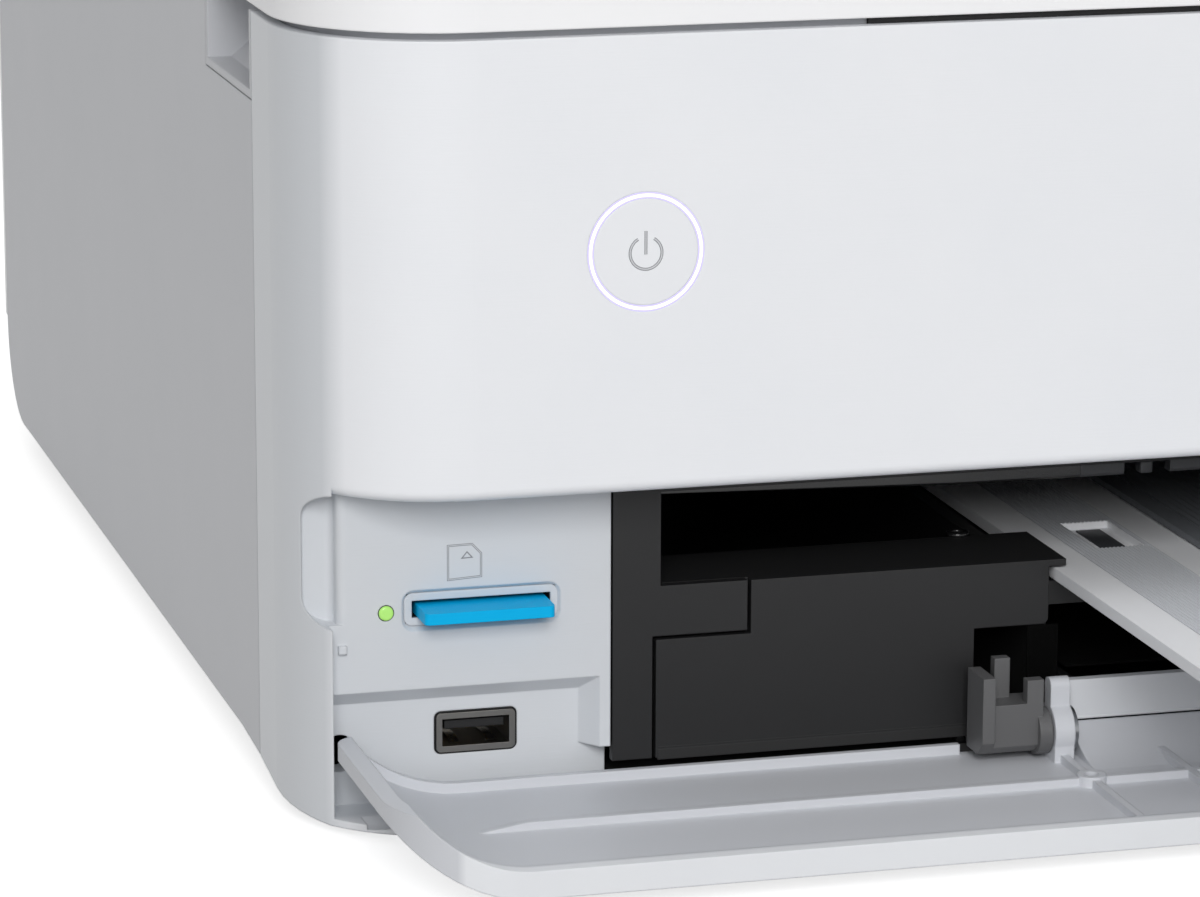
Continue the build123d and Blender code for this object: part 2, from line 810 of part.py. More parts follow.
with BuildPart() as front_cover:
    slab(0, (cover_bottom, cover_top))
    slab(cover_rim, (cover_bottom, cover_top), mode=Mode.SUBTRACT)
    with BuildSketch(facing(-1)) as cover_face:
        with Locations(((cover_left + cover_right) / 2, (cover_top + cover_bottom) / 2)):
            Rectangle(cover_right - cover_left, cover_top - cover_bottom)
        face_corners = cover_face.vertices().sort_by(Axis.X)
        fillet(face_corners[0:2].sort_by(Axis.Y)[1], cover_corner_radius)
        fillet(cover_face.vertices().sort_by_distance((cover_left, cover_bottom))[0], cover_lower_radius)
    extrude(amount=-(cover_deepest + 1), mode=Mode.INTERSECT)
    add(cover_hollow.part, mode=Mode.SUBTRACT)
    # ribs and bosses
    rib_d = (cover_skin - 0.2, cover_skin + rib_height)
    with BuildSketch(Plane.XY.offset(rib_z - rib_width / 2)) as long_rib:
        with BuildLine():
            Polyline(
                (long_rib_left, depth(rib_d[0])),
                (long_rib_left + rib_taper, depth(rib_d[1])),
                (cover_right - 1, depth(rib_d[1])),
                (cover_right - 1, depth(rib_d[0])),
                close=True,
            )
        make_face()
    extrude(long_rib.sketch, amount=rib_width)
    for x in cross_ribs:
        block((x - rib_width / 2, x + rib_width / 2), rib_d, (upstand_foot_z - 12, cover_top - 1))
    with BuildSketch(facing(cover_skin - 0.2)) as bosses:
        with Locations((-boss_x, rib_z), (boss_x, rib_z)):
            Circle(boss_radius)
    extrude(bosses.sketch, amount=-(rib_height + 0.7))
    with BuildSketch(facing(cover_skin + rib_height + 1)) as boss_holes:
        with Locations((-boss_x, rib_z), (boss_x, rib_z)):
            Circle(boss_hole_radius)
    extrude(boss_holes.sketch, amount=rib_height + 0.6, mode=Mode.SUBTRACT)
    # upstand along the hinge edge
    with BuildSketch(Plane.YZ.offset(-upstand_half_width)) as upstand:
        with BuildLine():
            Line((depth(1), cover_bottom), (depth(1), upstand_foot_z))
            Line((depth(1), upstand_foot_z), (depth(cover_skin), upstand_foot_z))
            ThreePointArc(
                (depth(cover_skin), upstand_foot_z),
                (depth(cover_skin + 1.6), (upstand_foot_z + upstand_top_z) / 2 - 1.5),
                (depth(upstand_depth), upstand_top_z + 0.6),
            )
            Line((depth(upstand_depth), upstand_top_z + 0.6), (depth(upstand_depth), upstand_top_z))
            Line((depth(upstand_depth), upstand_top_z), (depth(cover_skin + 1.5), cover_bottom))
            Line((depth(cover_skin + 1.5), cover_bottom), (depth(1), cover_bottom))
        make_face()
    extrude(upstand.sketch, amount=2 * upstand_half_width)
    # hinge arms: a ring round the pin, a foot on the skin and a finger that points up when open
    for sign in (-1, 1):
        inner = min(sign * knuckle_inner, sign * knuckle_outer)
        with BuildSketch(Plane.YZ.offset(inner)) as knuckle:
            with Locations((depth(hinge_depth), hinge_z)):
                Circle(knuckle_radius)
            with Locations((depth(hinge_depth / 2 + 0.5), hinge_z)):
                Rectangle(hinge_depth - 1, 2 * knuckle_radius - 1)
            with Locations((depth(hinge_depth + finger_length / 2), hinge_z)):
                RectangleRounded(finger_length, finger_width, finger_width / 2 - 0.1)
            with Locations((depth(hinge_depth), hinge_z)):
                Circle(pin_radius + running_fit, mode=Mode.SUBTRACT)
        extrude(knuckle.sketch, amount=knuckle_outer - knuckle_inner)
hinge_axis = Axis((0, depth(hinge_depth), hinge_z), (1, 0, 0))
save(front_cover.part.rotate(hinge_axis, 90), "front_cover")

# Hinge brackets and pins
bracket_width = 13.7
bracket_outer = knuckle_outer + clearance + bracket_width
bracket_inner = knuckle_outer + clearance
bracket_front = 3.3
bracket_rear = 12.0
bracket_bottom = 7.6
bracket_height = 9.4
bracket_chamfer = 2.6
cheek = 2.4
cheek_top = 22.6
tab_top = 21.4
tab_width = 3.2
pivot_boss_length = 1.5
pivot_boss_radius = 4.4
bracket_side = bracket_inner + pivot_boss_length
bracket_arm_outer = bracket_outer - 2.6
pin_head_radius = 4.2
pin_head_thickness = 0.8

for sign, name in ((-1, "hinge_bracket_left"), (1, "hinge_bracket_right")):
    with BuildPart() as bracket:
        body_top = bracket_bottom + bracket_height
        block(
            sorted((sign * (bracket_outer - cheek), sign * bracket_side)),
            (bracket_front + 1.2, bracket_rear),
            (bracket_bottom, body_top),
        )
        block(
            sorted((sign * bracket_outer, sign * (bracket_outer - cheek))),
            (bracket_front, bracket_rear),
            (bracket_bottom, cheek_top),
        )
        block(
            sorted((sign * (bracket_side + tab_width), sign * bracket_side)),
            (bracket_front + 1.2, bracket_front + 3.6),
            (body_top, tab_top),
        )
        block(
            sorted((sign * (bracket_outer - cheek - 2), sign * (bracket_outer - cheek - 5))),
            (bracket_rear - 2.2, bracket_rear),
            (body_top, cheek_top + 1.9),
        )
        front_lower_edges = bracket.edges().filter_by(Axis.X).group_by(Axis.Z)[0].group_by(Axis.Y)
        chamfer(front_lower_edges[0], bracket_chamfer)
        block(
            sorted((sign * bracket_arm_outer, sign * bracket_side)),
            (bracket_rear - 1, pan_front + 12),
            (bracket_bottom, bracket_bottom + 2),
        )
        block(
            sorted((sign * bracket_arm_outer, sign * bracket_side)),
            (pan_front + 1, pan_front + 12),
            (pan_top, bracket_bottom),
        )
        rod(
            sorted((sign * (bracket_side + 1), sign * bracket_inner)),
            hinge_depth,
            hinge_z,
            pivot_boss_radius,
        )
        rod(
            sorted((sign * (bracket_outer - 0.8), sign * (bracket_inner - 1))),
            hinge_depth,
            hinge_z,
            pin_radius + running_fit,
            mode=Mode.SUBTRACT,
        )
    save(bracket.part, name)

with BuildPart() as hinge_pins:
    for sign in (-1, 1):
        head = sign * (knuckle_inner - 0.15)
        rod(sorted((sign * (bracket_outer - 1), head)), hinge_depth, hinge_z, pin_radius)
        rod(sorted((head, head - sign * pin_head_thickness)), hinge_depth, hinge_z, pin_head_radius)
save(hinge_pins.part, "hinge_pins")

# Output tray and the stage that slides out of it
tray_half_width = bay_half_width - shut_line
tray_thickness = 2.3
tray_length = 236.0
tray_corner_radius = 6.0
tray_top = tray_bottom + tray_thickness
border_width = 8.3
bed_step = 0.25
channel_half_width = 92.5
channel_depth = 1.4
extension_half_width = 84.0
extension_thickness = 1.3
recess_x = -99.2
recess_width = 9.5
recess_length = 19.5
recess_depth = 37.8
recess_drop = 1.3
tray_rear = tray_length - tray_reach

with BuildPart() as output_tray:
    with BuildSketch(Plane.XY.offset(tray_bottom)) as tray_plan:
        with Locations((0, depth((tray_rear - tray_reach) / 2))):
            Rectangle(2 * tray_half_width, tray_length)
        fillet(tray_plan.vertices().group_by(Axis.Y)[0], tray_corner_radius)
    extrude(amount=tray_thickness)
    block(
        (-tray_half_width + border_width, tray_half_width - border_width),
        (-tray_reach + border_width, tray_rear + 1),
        (tray_top - bed_step, tray_top + 1),
        mode=Mode.SUBTRACT,
    )
    block(
        (-channel_half_width, channel_half_width),
        (-tray_reach - 1, tray_rear - 8),
        (tray_top - channel_depth, tray_top + 1),
        mode=Mode.SUBTRACT,
    )
    for sign in (-1, 1):
        middle = sign * abs(recess_x)
        block(
            (middle - recess_width / 2, middle + recess_width / 2),
            (recess_depth - recess_length / 2, recess_depth + recess_length / 2),
            (tray_top - bed_step - recess_drop, tray_top + 1),
            mode=Mode.SUBTRACT,
        )
save(output_tray.part, "output_tray")

extension_bottom = tray_top - channel_depth + clearance
with BuildPart() as tray_extension:
    with BuildSketch(Plane.XY.offset(extension_bottom)) as extension_plan:
        with Locations((0, depth((tray_rear - 20 - tray_reach) / 2))):
            Rectangle(2 * extension_half_width, tray_length - 20)
        fillet(extension_plan.vertices().group_by(Axis.Y)[0], tray_corner_radius)
    extrude(amount=extension_thickness)
save(tray_extension.part, "tray_extension")

# Paper cassettes and the guides in the lower one
cassette_front = 11.2
cassette_bottom = 11.6
cassette_top = 18.9
cassette_rear = 300.0
cassette_half_width = knuckle_inner - pin_head_thickness - 2 * clearance
cassette_wall = 2.0
cassette_floor = 1.6
guide_gap = 105.2
guide_front = 90.0
guide_length = 120.0
guide_height = 4.6
upper_front = 70.0
upper_length = 190.0
upper_bottom = upper_ledge_top + clearance
upper_height = 9.0
upper_half_width = 83.7

with BuildPart() as lower_cassette:
    block(
        (-cassette_half_width, cassette_half_width),
        (cassette_front, cassette_rear),
        (cassette_bottom, cassette_top),
    )
    block(
        (-cassette_half_width + cassette_wall, cassette_half_width - cassette_wall),
        (cassette_front + cassette_wall, cassette_rear - cassette_wall),
        (cassette_bottom + cassette_floor, cassette_top + 1),
        mode=Mode.SUBTRACT,
    )
save(lower_cassette.part, "lower_cassette")

for sign, name in ((-1, "paper_guide_left"), (1, "paper_guide_right")):
    with BuildPart() as paper_guide:
        foot_z = cassette_bottom + cassette_floor + clearance
        near = sign * guide_gap
        block(
            sorted((near, near + sign * 1.6)),
            (guide_front, guide_front + guide_length),
            (foot_z, foot_z + guide_height),
        )
        block(sorted((near, near + sign * 7)), (guide_front + 20, guide_front + 80), (foot_z, foot_z + 1.2))
    save(paper_guide.part, name)

with BuildPart() as upper_cassette:
    block(
        (-upper_half_width, upper_half_width),
        (upper_front, upper_front + upper_length),
        (upper_bottom, upper_bottom + upper_height),
    )
    block(
        (-upper_half_width + cassette_wall, upper_half_width - cassette_wall),
        (upper_front + cassette_wall, upper_front + upper_length - cassette_wall),
        (upper_bottom + cassette_floor, upper_bottom + upper_height + 1),
        mode=Mode.SUBTRACT,
    )
    block(
        (-22, 22),
        (upper_front - 1, upper_front + 3),
        (upper_bottom + 5, upper_bottom + 10),
        mode=Mode.SUBTRACT,
    )
save(upper_cassette.part, "upper_cassette")

# Ink tanks behind a window at the lower right
tank_count = 6
tank_pitch = 14.0
tank_width = 13.2
first_tank_x = from_right(102.5)
tank_rear = 92.0
tank_body_front = pan_front + 1.5
tank_nose_front = 5.0
tank_top = deck_bottom - 20.4
neck_radius = 4.6
neck_height = 4.0
neck_depth = 48.0
cap_radius = 6.0
cap_thickness = 2.6
cap_hinge_depth = neck_depth + 9.5
cap_pin_radius = 0.8
cap_barrel_radius = 1.5
window_bottom = 14.0
window_top = 54.0
tank_xs = [first_tank_x + tank_pitch * i for i in range(tank_count)]
window_left = tank_xs[0] - tank_pitch / 2 + 0.4
window_right = tank_xs[-1] + tank_pitch / 2 - 0.4
housing_left = cover_right + shut_line
cap_bottom = tank_top + neck_height + clearance
cap_axis_z = cap_bottom + cap_barrel_radius

with BuildPart() as tank_housing:
    slab(0, (corner_bottom, skin_top), rear=seam_depth)
    slab(skin_thickness, (corner_bottom + floor_thickness, skin_top), mode=Mode.SUBTRACT)
    block((-half_width, housing_left), (-1, body_depth), (0, body_height), mode=Mode.SUBTRACT)
    block(
        (housing_left, half_width),
        (pan_front - clearance, body_depth),
        (0, corner_bottom + floor_thickness),
        mode=Mode.SUBTRACT,
    )
    housing_side = (housing_left, housing_left + skin_thickness)
    block(housing_side, (0, pan_front - clearance), (corner_bottom + floor_thickness, skin_top))
    block(housing_side, (pan_front - clearance, seam_depth), (pan_top + clearance, skin_top))
    block(
        (window_left, window_right),
        (-1, skin_thickness + 1),
        (window_bottom, window_top),
        mode=Mode.SUBTRACT,
    )
save(tank_housing.part, "tank_housing")

with BuildPart() as tank_window:
    block(
        (window_left + running_fit, window_right - running_fit),
        (0.2, skin_thickness),
        (window_bottom + running_fit, window_top - running_fit),
    )
save(tank_window.part, "tank_window")

with BuildPart() as ink_tanks:
    for x in tank_xs:
        span = (x - tank_width / 2, x + tank_width / 2)
        block(span, (tank_body_front, tank_rear), (pan_top, tank_top))
        block(span, (tank_nose_front, tank_body_front), (window_bottom - 2, window_top + 4))
        with Locations((x, depth(neck_depth), tank_top)):
            Cylinder(neck_radius, neck_height, align=(Align.CENTER, Align.CENTER, Align.MIN))
        for side in (-1, 1):
            ear = x + side * 3.6
            block(
                (ear - 0.8, ear + 0.8),
                (cap_hinge_depth - 1.8, cap_hinge_depth + 1.8),
                (tank_top, cap_axis_z + 1.8),
            )
            rod(
                (ear - 1, ear + 1),
                cap_hinge_depth,
                cap_axis_z,
                cap_pin_radius + running_fit,
                mode=Mode.SUBTRACT,
            )
save(ink_tanks.part, "ink_tanks")

for number, x in enumerate(tank_xs, start=1):
    with BuildPart() as ink_cap:
        with Locations((x, depth(neck_depth), cap_bottom)):
            Cylinder(cap_radius, cap_thickness, align=(Align.CENTER, Align.CENTER, Align.MIN))
        block((x - 2, x + 2), (neck_depth, cap_hinge_depth), (cap_bottom, cap_bottom + cap_thickness))
        rod((x - 2.4, x + 2.4), cap_hinge_depth, cap_axis_z, cap_barrel_radius)
        rod((x - 4.2, x + 4.2), cap_hinge_depth, cap_axis_z, cap_pin_radius)
    save(ink_cap.part, f"ink_cap_{number}")

# Top frame that carries the scanner unit, with its ledge in the gap
deck_top = fascia_top - shut_line
deck_inset = wall + clearance
deck_width = 21.0
ledge_inset = 3.2
ledge_band = 5.0
ledge_end = from_right(102.0)
ledge_top = scanner_bottom - clearance
hinge_lift_depth = scanner_depth - 1.5
hinge_lift_z = scanner_bottom + 1.6
lift_lug_x = from_right(53.5)
lift_lug_half = 3.0
lift_lug_radius = 3.0
lift_pin_radius = 1.5
rear_top_front = 334.5
chute_half_width = 170.0
chute_wall = 1.5
chute_hole_half = chute_half_width + chute_wall + clearance

with BuildPart() as top_frame:
    slab(deck_inset, (deck_bottom, deck_top))
    slab(deck_inset + deck_width, (deck_bottom, deck_top), rear=scanner_depth - 20, mode=Mode.SUBTRACT)
    block(
        (-chute_hole_half, chute_hole_half),
        (scanner_depth + 20, rear_seam + 30),
        (deck_bottom, deck_top),
        mode=Mode.SUBTRACT,
    )
    slab(ledge_inset, (deck_top, ledge_top), rear=scanner_depth - 12)
    slab(ledge_inset + ledge_band, (deck_top, ledge_top), mode=Mode.SUBTRACT)
    block((-ledge_end, ledge_end), (0, 30), (deck_top, ledge_top), mode=Mode.SUBTRACT)
    for sign in (-1, 1):
        block(
            sorted((sign * (half_width + 1), sign * (half_width - grip_inside - clearance))),
            (side_front - clearance, grip_rear),
            (deck_bottom, ledge_top),
            mode=Mode.SUBTRACT,
        )
        lug = sign * lift_lug_x
        rod((lug - lift_lug_half, lug + lift_lug_half), hinge_lift_depth, hinge_lift_z, lift_lug_radius)
        block(
            (lug - lift_lug_half, lug + lift_lug_half),
            (hinge_lift_depth - 2, hinge_lift_depth + 2),
            (deck_top, hinge_lift_z - 2),
        )
        rod(
            (lug - 4, lug + 4),
            hinge_lift_depth,
            hinge_lift_z,
            lift_pin_radius + running_fit,
            mode=Mode.SUBTRACT,
        )
save(top_frame.part, "top_frame")

# Scanner unit with its glass, sensor bar and guide rod
scan_floor = 2.0
glass_thickness = 3.0
glass_half_width = 158.0
glass_front = 42.0
glass_rear = 276.0
cavity_half_width = 182.0
cavity_front = 30.0
cavity_rear = 292.0
rod_radius = 1.5
scan_rod_depth = 160.0
scan_rod_z = scanner_bottom + scan_floor + 2.4
bar_half_width = 12.0
bar_rest_x = -166.0
lid_axis_depth = 317.0
lid_axis_z = scanner_top + 4.2
lid_knuckle_x = 150.0
lid_knuckle_half = 2.7
lid_lug_width = 4.0
lid_ring_radius = 3.0
lift_notch_half = lift_lug_half + clearance
lid_lug_offset = lid_knuckle_half + clearance + lid_lug_width / 2
lid_lug_xs = [
    side * (lid_knuckle_x + offset)
    for side in (-1, 1)
    for offset in (-lid_lug_offset, lid_lug_offset)
]

with BuildPart() as scanner_unit:
    slab(0, (scanner_bottom, scanner_top), rear=scanner_depth)
    block(
        (-cavity_half_width, cavity_half_width),
        (cavity_front, cavity_rear),
        (scanner_bottom + scan_floor, scanner_top - glass_thickness),
        mode=Mode.SUBTRACT,
    )
    block(
        (-glass_half_width - running_fit, glass_half_width + running_fit),
        (glass_front - running_fit, glass_rear + running_fit),
        (scanner_top - glass_thickness, scanner_top),
        mode=Mode.SUBTRACT,
    )
    for sign in (-1, 1):
        wall_x = sign * cavity_half_width
        rod(
            sorted((wall_x - sign, wall_x + sign * 4)),
            scan_rod_depth,
            scan_rod_z,
            rod_radius + running_fit,
            mode=Mode.SUBTRACT,
        )
        lug = sign * lift_lug_x
        block(
            (lug - lift_notch_half, lug + lift_notch_half),
            (hinge_lift_depth - 5.5, scanner_depth + 1),
            (scanner_bottom - 1, hinge_lift_z + 4.5),
            mode=Mode.SUBTRACT,
        )
        rod(
            (lug - lift_notch_half - 2, lug + lift_notch_half + 2),
            hinge_lift_depth,
            hinge_lift_z,
            lift_pin_radius,
        )
    for x in lid_lug_xs:
        span = (x - lid_lug_width / 2, x + lid_lug_width / 2)
        rod(span, lid_axis_depth, lid_axis_z, lid_ring_radius)
        block(span, (lid_axis_depth - 2.5, lid_axis_depth + 2.5), (scanner_top - 1, lid_axis_z))
        rod(
            (span[0] - 1, span[1] + 1),
            lid_axis_depth,
            lid_axis_z,
            rod_radius + running_fit,
            mode=Mode.SUBTRACT,
        )
save(scanner_unit.part, "scanner_unit")

with BuildPart() as scanner_glass:
    block(
        (-glass_half_width, glass_half_width),
        (glass_front, glass_rear),
        (scanner_top - glass_thickness, scanner_top),
    )
save(scanner_glass.part, "scanner_glass")

with BuildPart() as scan_rod:
    rod((-cavity_half_width - 3.5, cavity_half_width + 3.5), scan_rod_depth, scan_rod_z, rod_radius)
save(scan_rod.part, "scan_rod")

with BuildPart() as scan_bar:
    block(
        (bar_rest_x - bar_half_width, bar_rest_x + bar_half_width),
        (cavity_front + 3, cavity_rear - 3),
        (scanner_bottom + scan_floor + 0.4, scanner_top - glass_thickness - 0.6),
    )
    rod(
        (bar_rest_x - bar_half_width - 1, bar_rest_x + bar_half_width + 1),
        scan_rod_depth,
        scan_rod_z,
        rod_radius + running_fit,
        mode=Mode.SUBTRACT,
    )
save(scan_bar.part, "scan_bar")

# Document lid with its pad and pins
lid_rear = 312.0
pad_thickness = 2.6
pad_inset = 1.5
with BuildPart() as document_lid:
    slab(0, (lid_bottom, body_height), rear=lid_rear)
    fillet(document_lid.edges().group_by(Axis.Z)[-1], 2.0)
    block(
        (-glass_half_width, glass_half_width),
        (glass_front, glass_rear),
        (lid_bottom - 1, lid_bottom + pad_thickness),
        mode=Mode.SUBTRACT,
    )
    for sign in (-1, 1):
        middle = sign * lid_knuckle_x
        span = (middle - lid_knuckle_half, middle + lid_knuckle_half)
        rod(span, lid_axis_depth, lid_axis_z, lid_ring_radius)
        block(span, (lid_rear - 2, lid_axis_depth), (lid_axis_z - 1.5, lid_axis_z + lid_ring_radius))
        rod(
            (span[0] - 1, span[1] + 1),
            lid_axis_depth,
            lid_axis_z,
            rod_radius + running_fit,
            mode=Mode.SUBTRACT,
        )
save(document_lid.part, "document_lid")

with BuildPart() as lid_pad:
    block(
        (-glass_half_width + pad_inset, glass_half_width - pad_inset),
        (glass_front + pad_inset, glass_rear - pad_inset),
        (scanner_top + clearance, lid_bottom + pad_thickness),
    )
save(lid_pad.part, "lid_pad")

lid_pin_reach = lid_knuckle_half + clearance + lid_lug_width
with BuildPart() as lid_pins:
    for sign in (-1, 1):
        middle = sign * lid_knuckle_x
        rod((middle - lid_pin_reach, middle + lid_pin_reach), lid_axis_depth, lid_axis_z, rod_radius)
save(lid_pins.part, "lid_pins")

# Rear paper slot: top cover, flap, chute and two edge guides
rear_top_height = body_height - 7.0
flap_half_width = 171.6
flap_front = 345.4
flap_rear = 371.1
flap_axis_depth = flap_rear - 1.5
flap_axis_z = rear_top_height - wall / 2
flap_pin_radius = 0.8
flap_pin_reach = 3.0
chute_bottom = 92.0
chute_flange = 6.0
chute_front = flap_front + 0.3
chute_rear = 367.0
feed_guide_x = 108.0
feed_guide_bottom = 118.0

with BuildPart() as rear_top_cover:
    slab(0, (fascia_top + shut_line, rear_top_height), front=rear_top_front)
    slab(
        wall,
        (fascia_top, rear_top_height - wall),
        front=rear_top_front + wall,
        mode=Mode.SUBTRACT,
    )
    block(
        (-flap_half_width - shut_line, flap_half_width + shut_line),
        (flap_front - shut_line, flap_rear + shut_line),
        (rear_top_height - wall - 1, rear_top_height + 1),
        mode=Mode.SUBTRACT,
    )
    for sign in (-1, 1):
        near = sign * (flap_half_width + shut_line)
        rod(
            sorted((near, near + sign * flap_pin_reach)),
            flap_axis_depth,
            flap_axis_z,
            flap_pin_radius + running_fit,
            mode=Mode.SUBTRACT,
        )
save(rear_top_cover.part, "rear_top_cover")

with BuildPart() as rear_flap:
    block(
        (-flap_half_width, flap_half_width),
        (flap_front, flap_rear),
        (rear_top_height - wall, rear_top_height),
    )
    flap_rear_edges = rear_flap.edges().filter_by(Axis.X).group_by(Axis.Y)[-1]
    fillet(flap_rear_edges, wall / 2 - 0.1)
    rod(
        (-flap_half_width - flap_pin_reach, flap_half_width + flap_pin_reach),
        flap_axis_depth,
        flap_axis_z,
        flap_pin_radius,
    )
save(rear_flap.part, "rear_flap")

with BuildPart() as paper_chute:
    chute_z = (chute_bottom, rear_top_height - wall - clearance)
    block((-chute_half_width - chute_wall, chute_half_width + chute_wall), (chute_front, chute_rear), chute_z)
    block(
        (-chute_half_width, chute_half_width),
        (chute_front + chute_wall, chute_rear - chute_wall),
        (chute_bottom - 1, rear_top_height),
        mode=Mode.SUBTRACT,
    )
    for sign in (-1, 1):
        flange = sign * (chute_half_width + chute_wall)
        block(
            sorted((flange, flange + sign * chute_flange)),
            (chute_front, chute_rear),
            (deck_top, deck_top + 1.5),
        )
save(paper_chute.part, "paper_chute")

for sign, name in ((-1, "feed_guide_left"), (1, "feed_guide_right")):
    with BuildPart() as feed_guide:
        near = sign * feed_guide_x
        block(
            sorted((near, near + sign * 2)),
            (chute_front + chute_wall + clearance, chute_rear - chute_wall - clearance),
            (feed_guide_bottom, rear_top_height - wall - 1),
        )
        block(
            sorted((near, near + sign * 16)),
            (chute_rear - chute_wall - clearance - 1.5, chute_rear - chute_wall - clearance),
            (feed_guide_bottom, feed_guide_bottom + 22),
        )
    save(feed_guide.part, name)

# Print engine: side frames, rail, carriage, feed roller and main board
engine_left = from_left(47.5)
engine_right = from_right(118.5)
engine_plate = 2.0
engine_front = 110.0
engine_rear = 300.0
rail_depth = 180.0
rail_thickness = 6.0
rail_bottom = 96.0
rail_height = 24.0
carriage_width = 84.0
carriage_x = engine_right - 51.0
carriage_front = 136.0
carriage_rear = 206.0
carriage_bottom = 72.0
carriage_top = 128.0
roller_radius = 6.0
roller_shaft_radius = 3.0
roller_depth = 222.0
roller_z = 68.0
board_x = from_left(21.5)
board_thickness = 1.6
board_front = 130.0
board_length = 160.0
board_height = 104.0
chip_height = 1.8

with BuildPart() as engine_frames:
    for near, far in ((engine_left - engine_plate, engine_left), (engine_right, engine_right + engine_plate)):
        block((near, far), (engine_front, engine_rear), (pan_top, deck_bottom))
        rod(
            (near - 1, far + 1),
            roller_depth,
            roller_z,
            roller_shaft_radius + running_fit,
            mode=Mode.SUBTRACT,
        )
save(engine_frames.part, "engine_frames")

with BuildPart() as carriage_rail:
    block(
        (engine_left, engine_right),
        (rail_depth, rail_depth + rail_thickness),
        (rail_bottom, rail_bottom + rail_height),
    )
save(carriage_rail.part, "carriage_rail")

with BuildPart() as print_carriage:
    block(
        (carriage_x - carriage_width / 2, carriage_x + carriage_width / 2),
        (carriage_front, carriage_rear),
        (carriage_bottom, carriage_top),
    )
    fillet(print_carriage.edges().filter_by(Axis.Z), 3)
    block(
        (carriage_x - carriage_width / 2 - 1, carriage_x + carriage_width / 2 + 1),
        (rail_depth - clearance, rail_depth + rail_thickness + clearance),
        (rail_bottom - clearance, rail_bottom + rail_height + clearance),
        mode=Mode.SUBTRACT,
    )
    block(
        (carriage_x - carriage_width / 2 + 10, carriage_x + carriage_width / 2 - 10),
        (carriage_front + 6, carriage_front + 36),
        (carriage_bottom - 3, carriage_bottom),
    )
save(print_carriage.part, "print_carriage")

with BuildPart() as feed_roller:
    rod((engine_left + 1, engine_right - 1), roller_depth, roller_z, roller_radius)
    rod(
        (engine_left - engine_plate - 1, engine_right + engine_plate + 1),
        roller_depth,
        roller_z,
        roller_shaft_radius,
    )
save(feed_roller.part, "feed_roller")

with BuildPart() as main_board:
    board_face = board_x + board_thickness
    block((board_x, board_face), (board_front, board_front + board_length), (pan_top, pan_top + board_height))
    for d, z, size in ((30.0, 44.0, 22.0), (75.0, 64.0, 16.0), (110.0, 34.0, 12.0)):
        chip_d = (board_front + d, board_front + d + size)
        block((board_face, board_face + chip_height), chip_d, (pan_top + z, pan_top + z + size))
save(main_board.part, "main_board")

# Mains inlet, device port and network port in the rear wall
port_body_depth = 22.0
with BuildPart() as mains_inlet:
    with BuildSketch(facing(body_depth)):
        with Locations((inlet_x, inlet_z)):
            RectangleRounded(inlet_width, inlet_height, 2)
            SlotOverall(17, 8.6, mode=Mode.SUBTRACT)
    extrude(amount=port_body_depth)
    with BuildSketch(facing(body_depth - port_body_depth)):
        with Locations((inlet_x, inlet_z)):
            RectangleRounded(inlet_width, inlet_height, 2)
    extrude(amount=3)
    with BuildSketch(facing(body_depth - port_body_depth)):
        with Locations((inlet_x - 4.3, inlet_z), (inlet_x + 4.3, inlet_z)):
            Circle(1.2)
    extrude(amount=-(port_body_depth - 4))
save(mains_inlet.part, "mains_inlet")

with BuildPart() as rear_sockets:
    for x, width, height, inner_width, inner_height in (
        (usb_b_x, usb_b_width, usb_b_height, 8.5, 7.8),
        (lan_x, lan_width, lan_height, 11.8, 8.2),
    ):
        with BuildSketch(facing(body_depth)) as socket_face:
            with Locations((x, usb_b_z)):
                Rectangle(width, height)
                Rectangle(inner_width, inner_height, mode=Mode.SUBTRACT)
        extrude(socket_face.sketch, amount=port_body_depth)
        with BuildSketch(facing(body_depth - port_body_depth)) as socket_back:
            with Locations((x, usb_b_z)):
                Rectangle(width, height)
        extrude(socket_back.sketch, amount=2)
save(rear_sockets.part, "rear_sockets")
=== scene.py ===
"""Looks of a white multifunction printer whose front cover is folded down.

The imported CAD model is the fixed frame. This script gives each of its nodes a moulded,
rolled or printed finish and adds the small parts that only show close up.
Lengths are in metres unless a name ends in _mm.
"""

import logging
import math
from dataclasses import dataclass
from enum import Enum
from typing import Any, Optional

import bmesh
import bpy
import numpy as np
from mathutils import Euler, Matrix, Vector


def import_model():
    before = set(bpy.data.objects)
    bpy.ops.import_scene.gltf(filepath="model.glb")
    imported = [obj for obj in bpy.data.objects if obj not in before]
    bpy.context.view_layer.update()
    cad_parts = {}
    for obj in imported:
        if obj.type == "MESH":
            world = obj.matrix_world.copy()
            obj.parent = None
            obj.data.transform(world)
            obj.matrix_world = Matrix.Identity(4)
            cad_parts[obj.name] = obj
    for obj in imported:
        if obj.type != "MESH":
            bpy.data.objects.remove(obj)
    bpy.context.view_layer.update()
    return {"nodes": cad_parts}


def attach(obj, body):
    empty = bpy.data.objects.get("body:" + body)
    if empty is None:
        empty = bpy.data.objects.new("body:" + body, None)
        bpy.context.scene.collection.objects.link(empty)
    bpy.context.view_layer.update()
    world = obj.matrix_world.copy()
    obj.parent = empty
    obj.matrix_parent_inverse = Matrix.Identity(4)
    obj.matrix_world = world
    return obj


LOG = logging.getLogger("printer")
MM = 0.001
# World Y of the fascia's front, from which depths are counted
FASCIA_Y_MM = -156.5
# Size of the soft patches in which a colour drifts
PATCH_MM = 25.0
# Height over which a second colour comes in
ABOVE_FADE_MM = 0.3
COAT_ROUGHNESS = 0.08
# How far a printed line and its lighter core, a painted highlight, stand proud of their wall
PRINT_MM = 0.03
CORE_MM = 0.06
# Vertices nearer than this are one
DOUBLE_M = 1e-7
# Points of a whole circle in a line that shows from near
RING_STEPS = 96


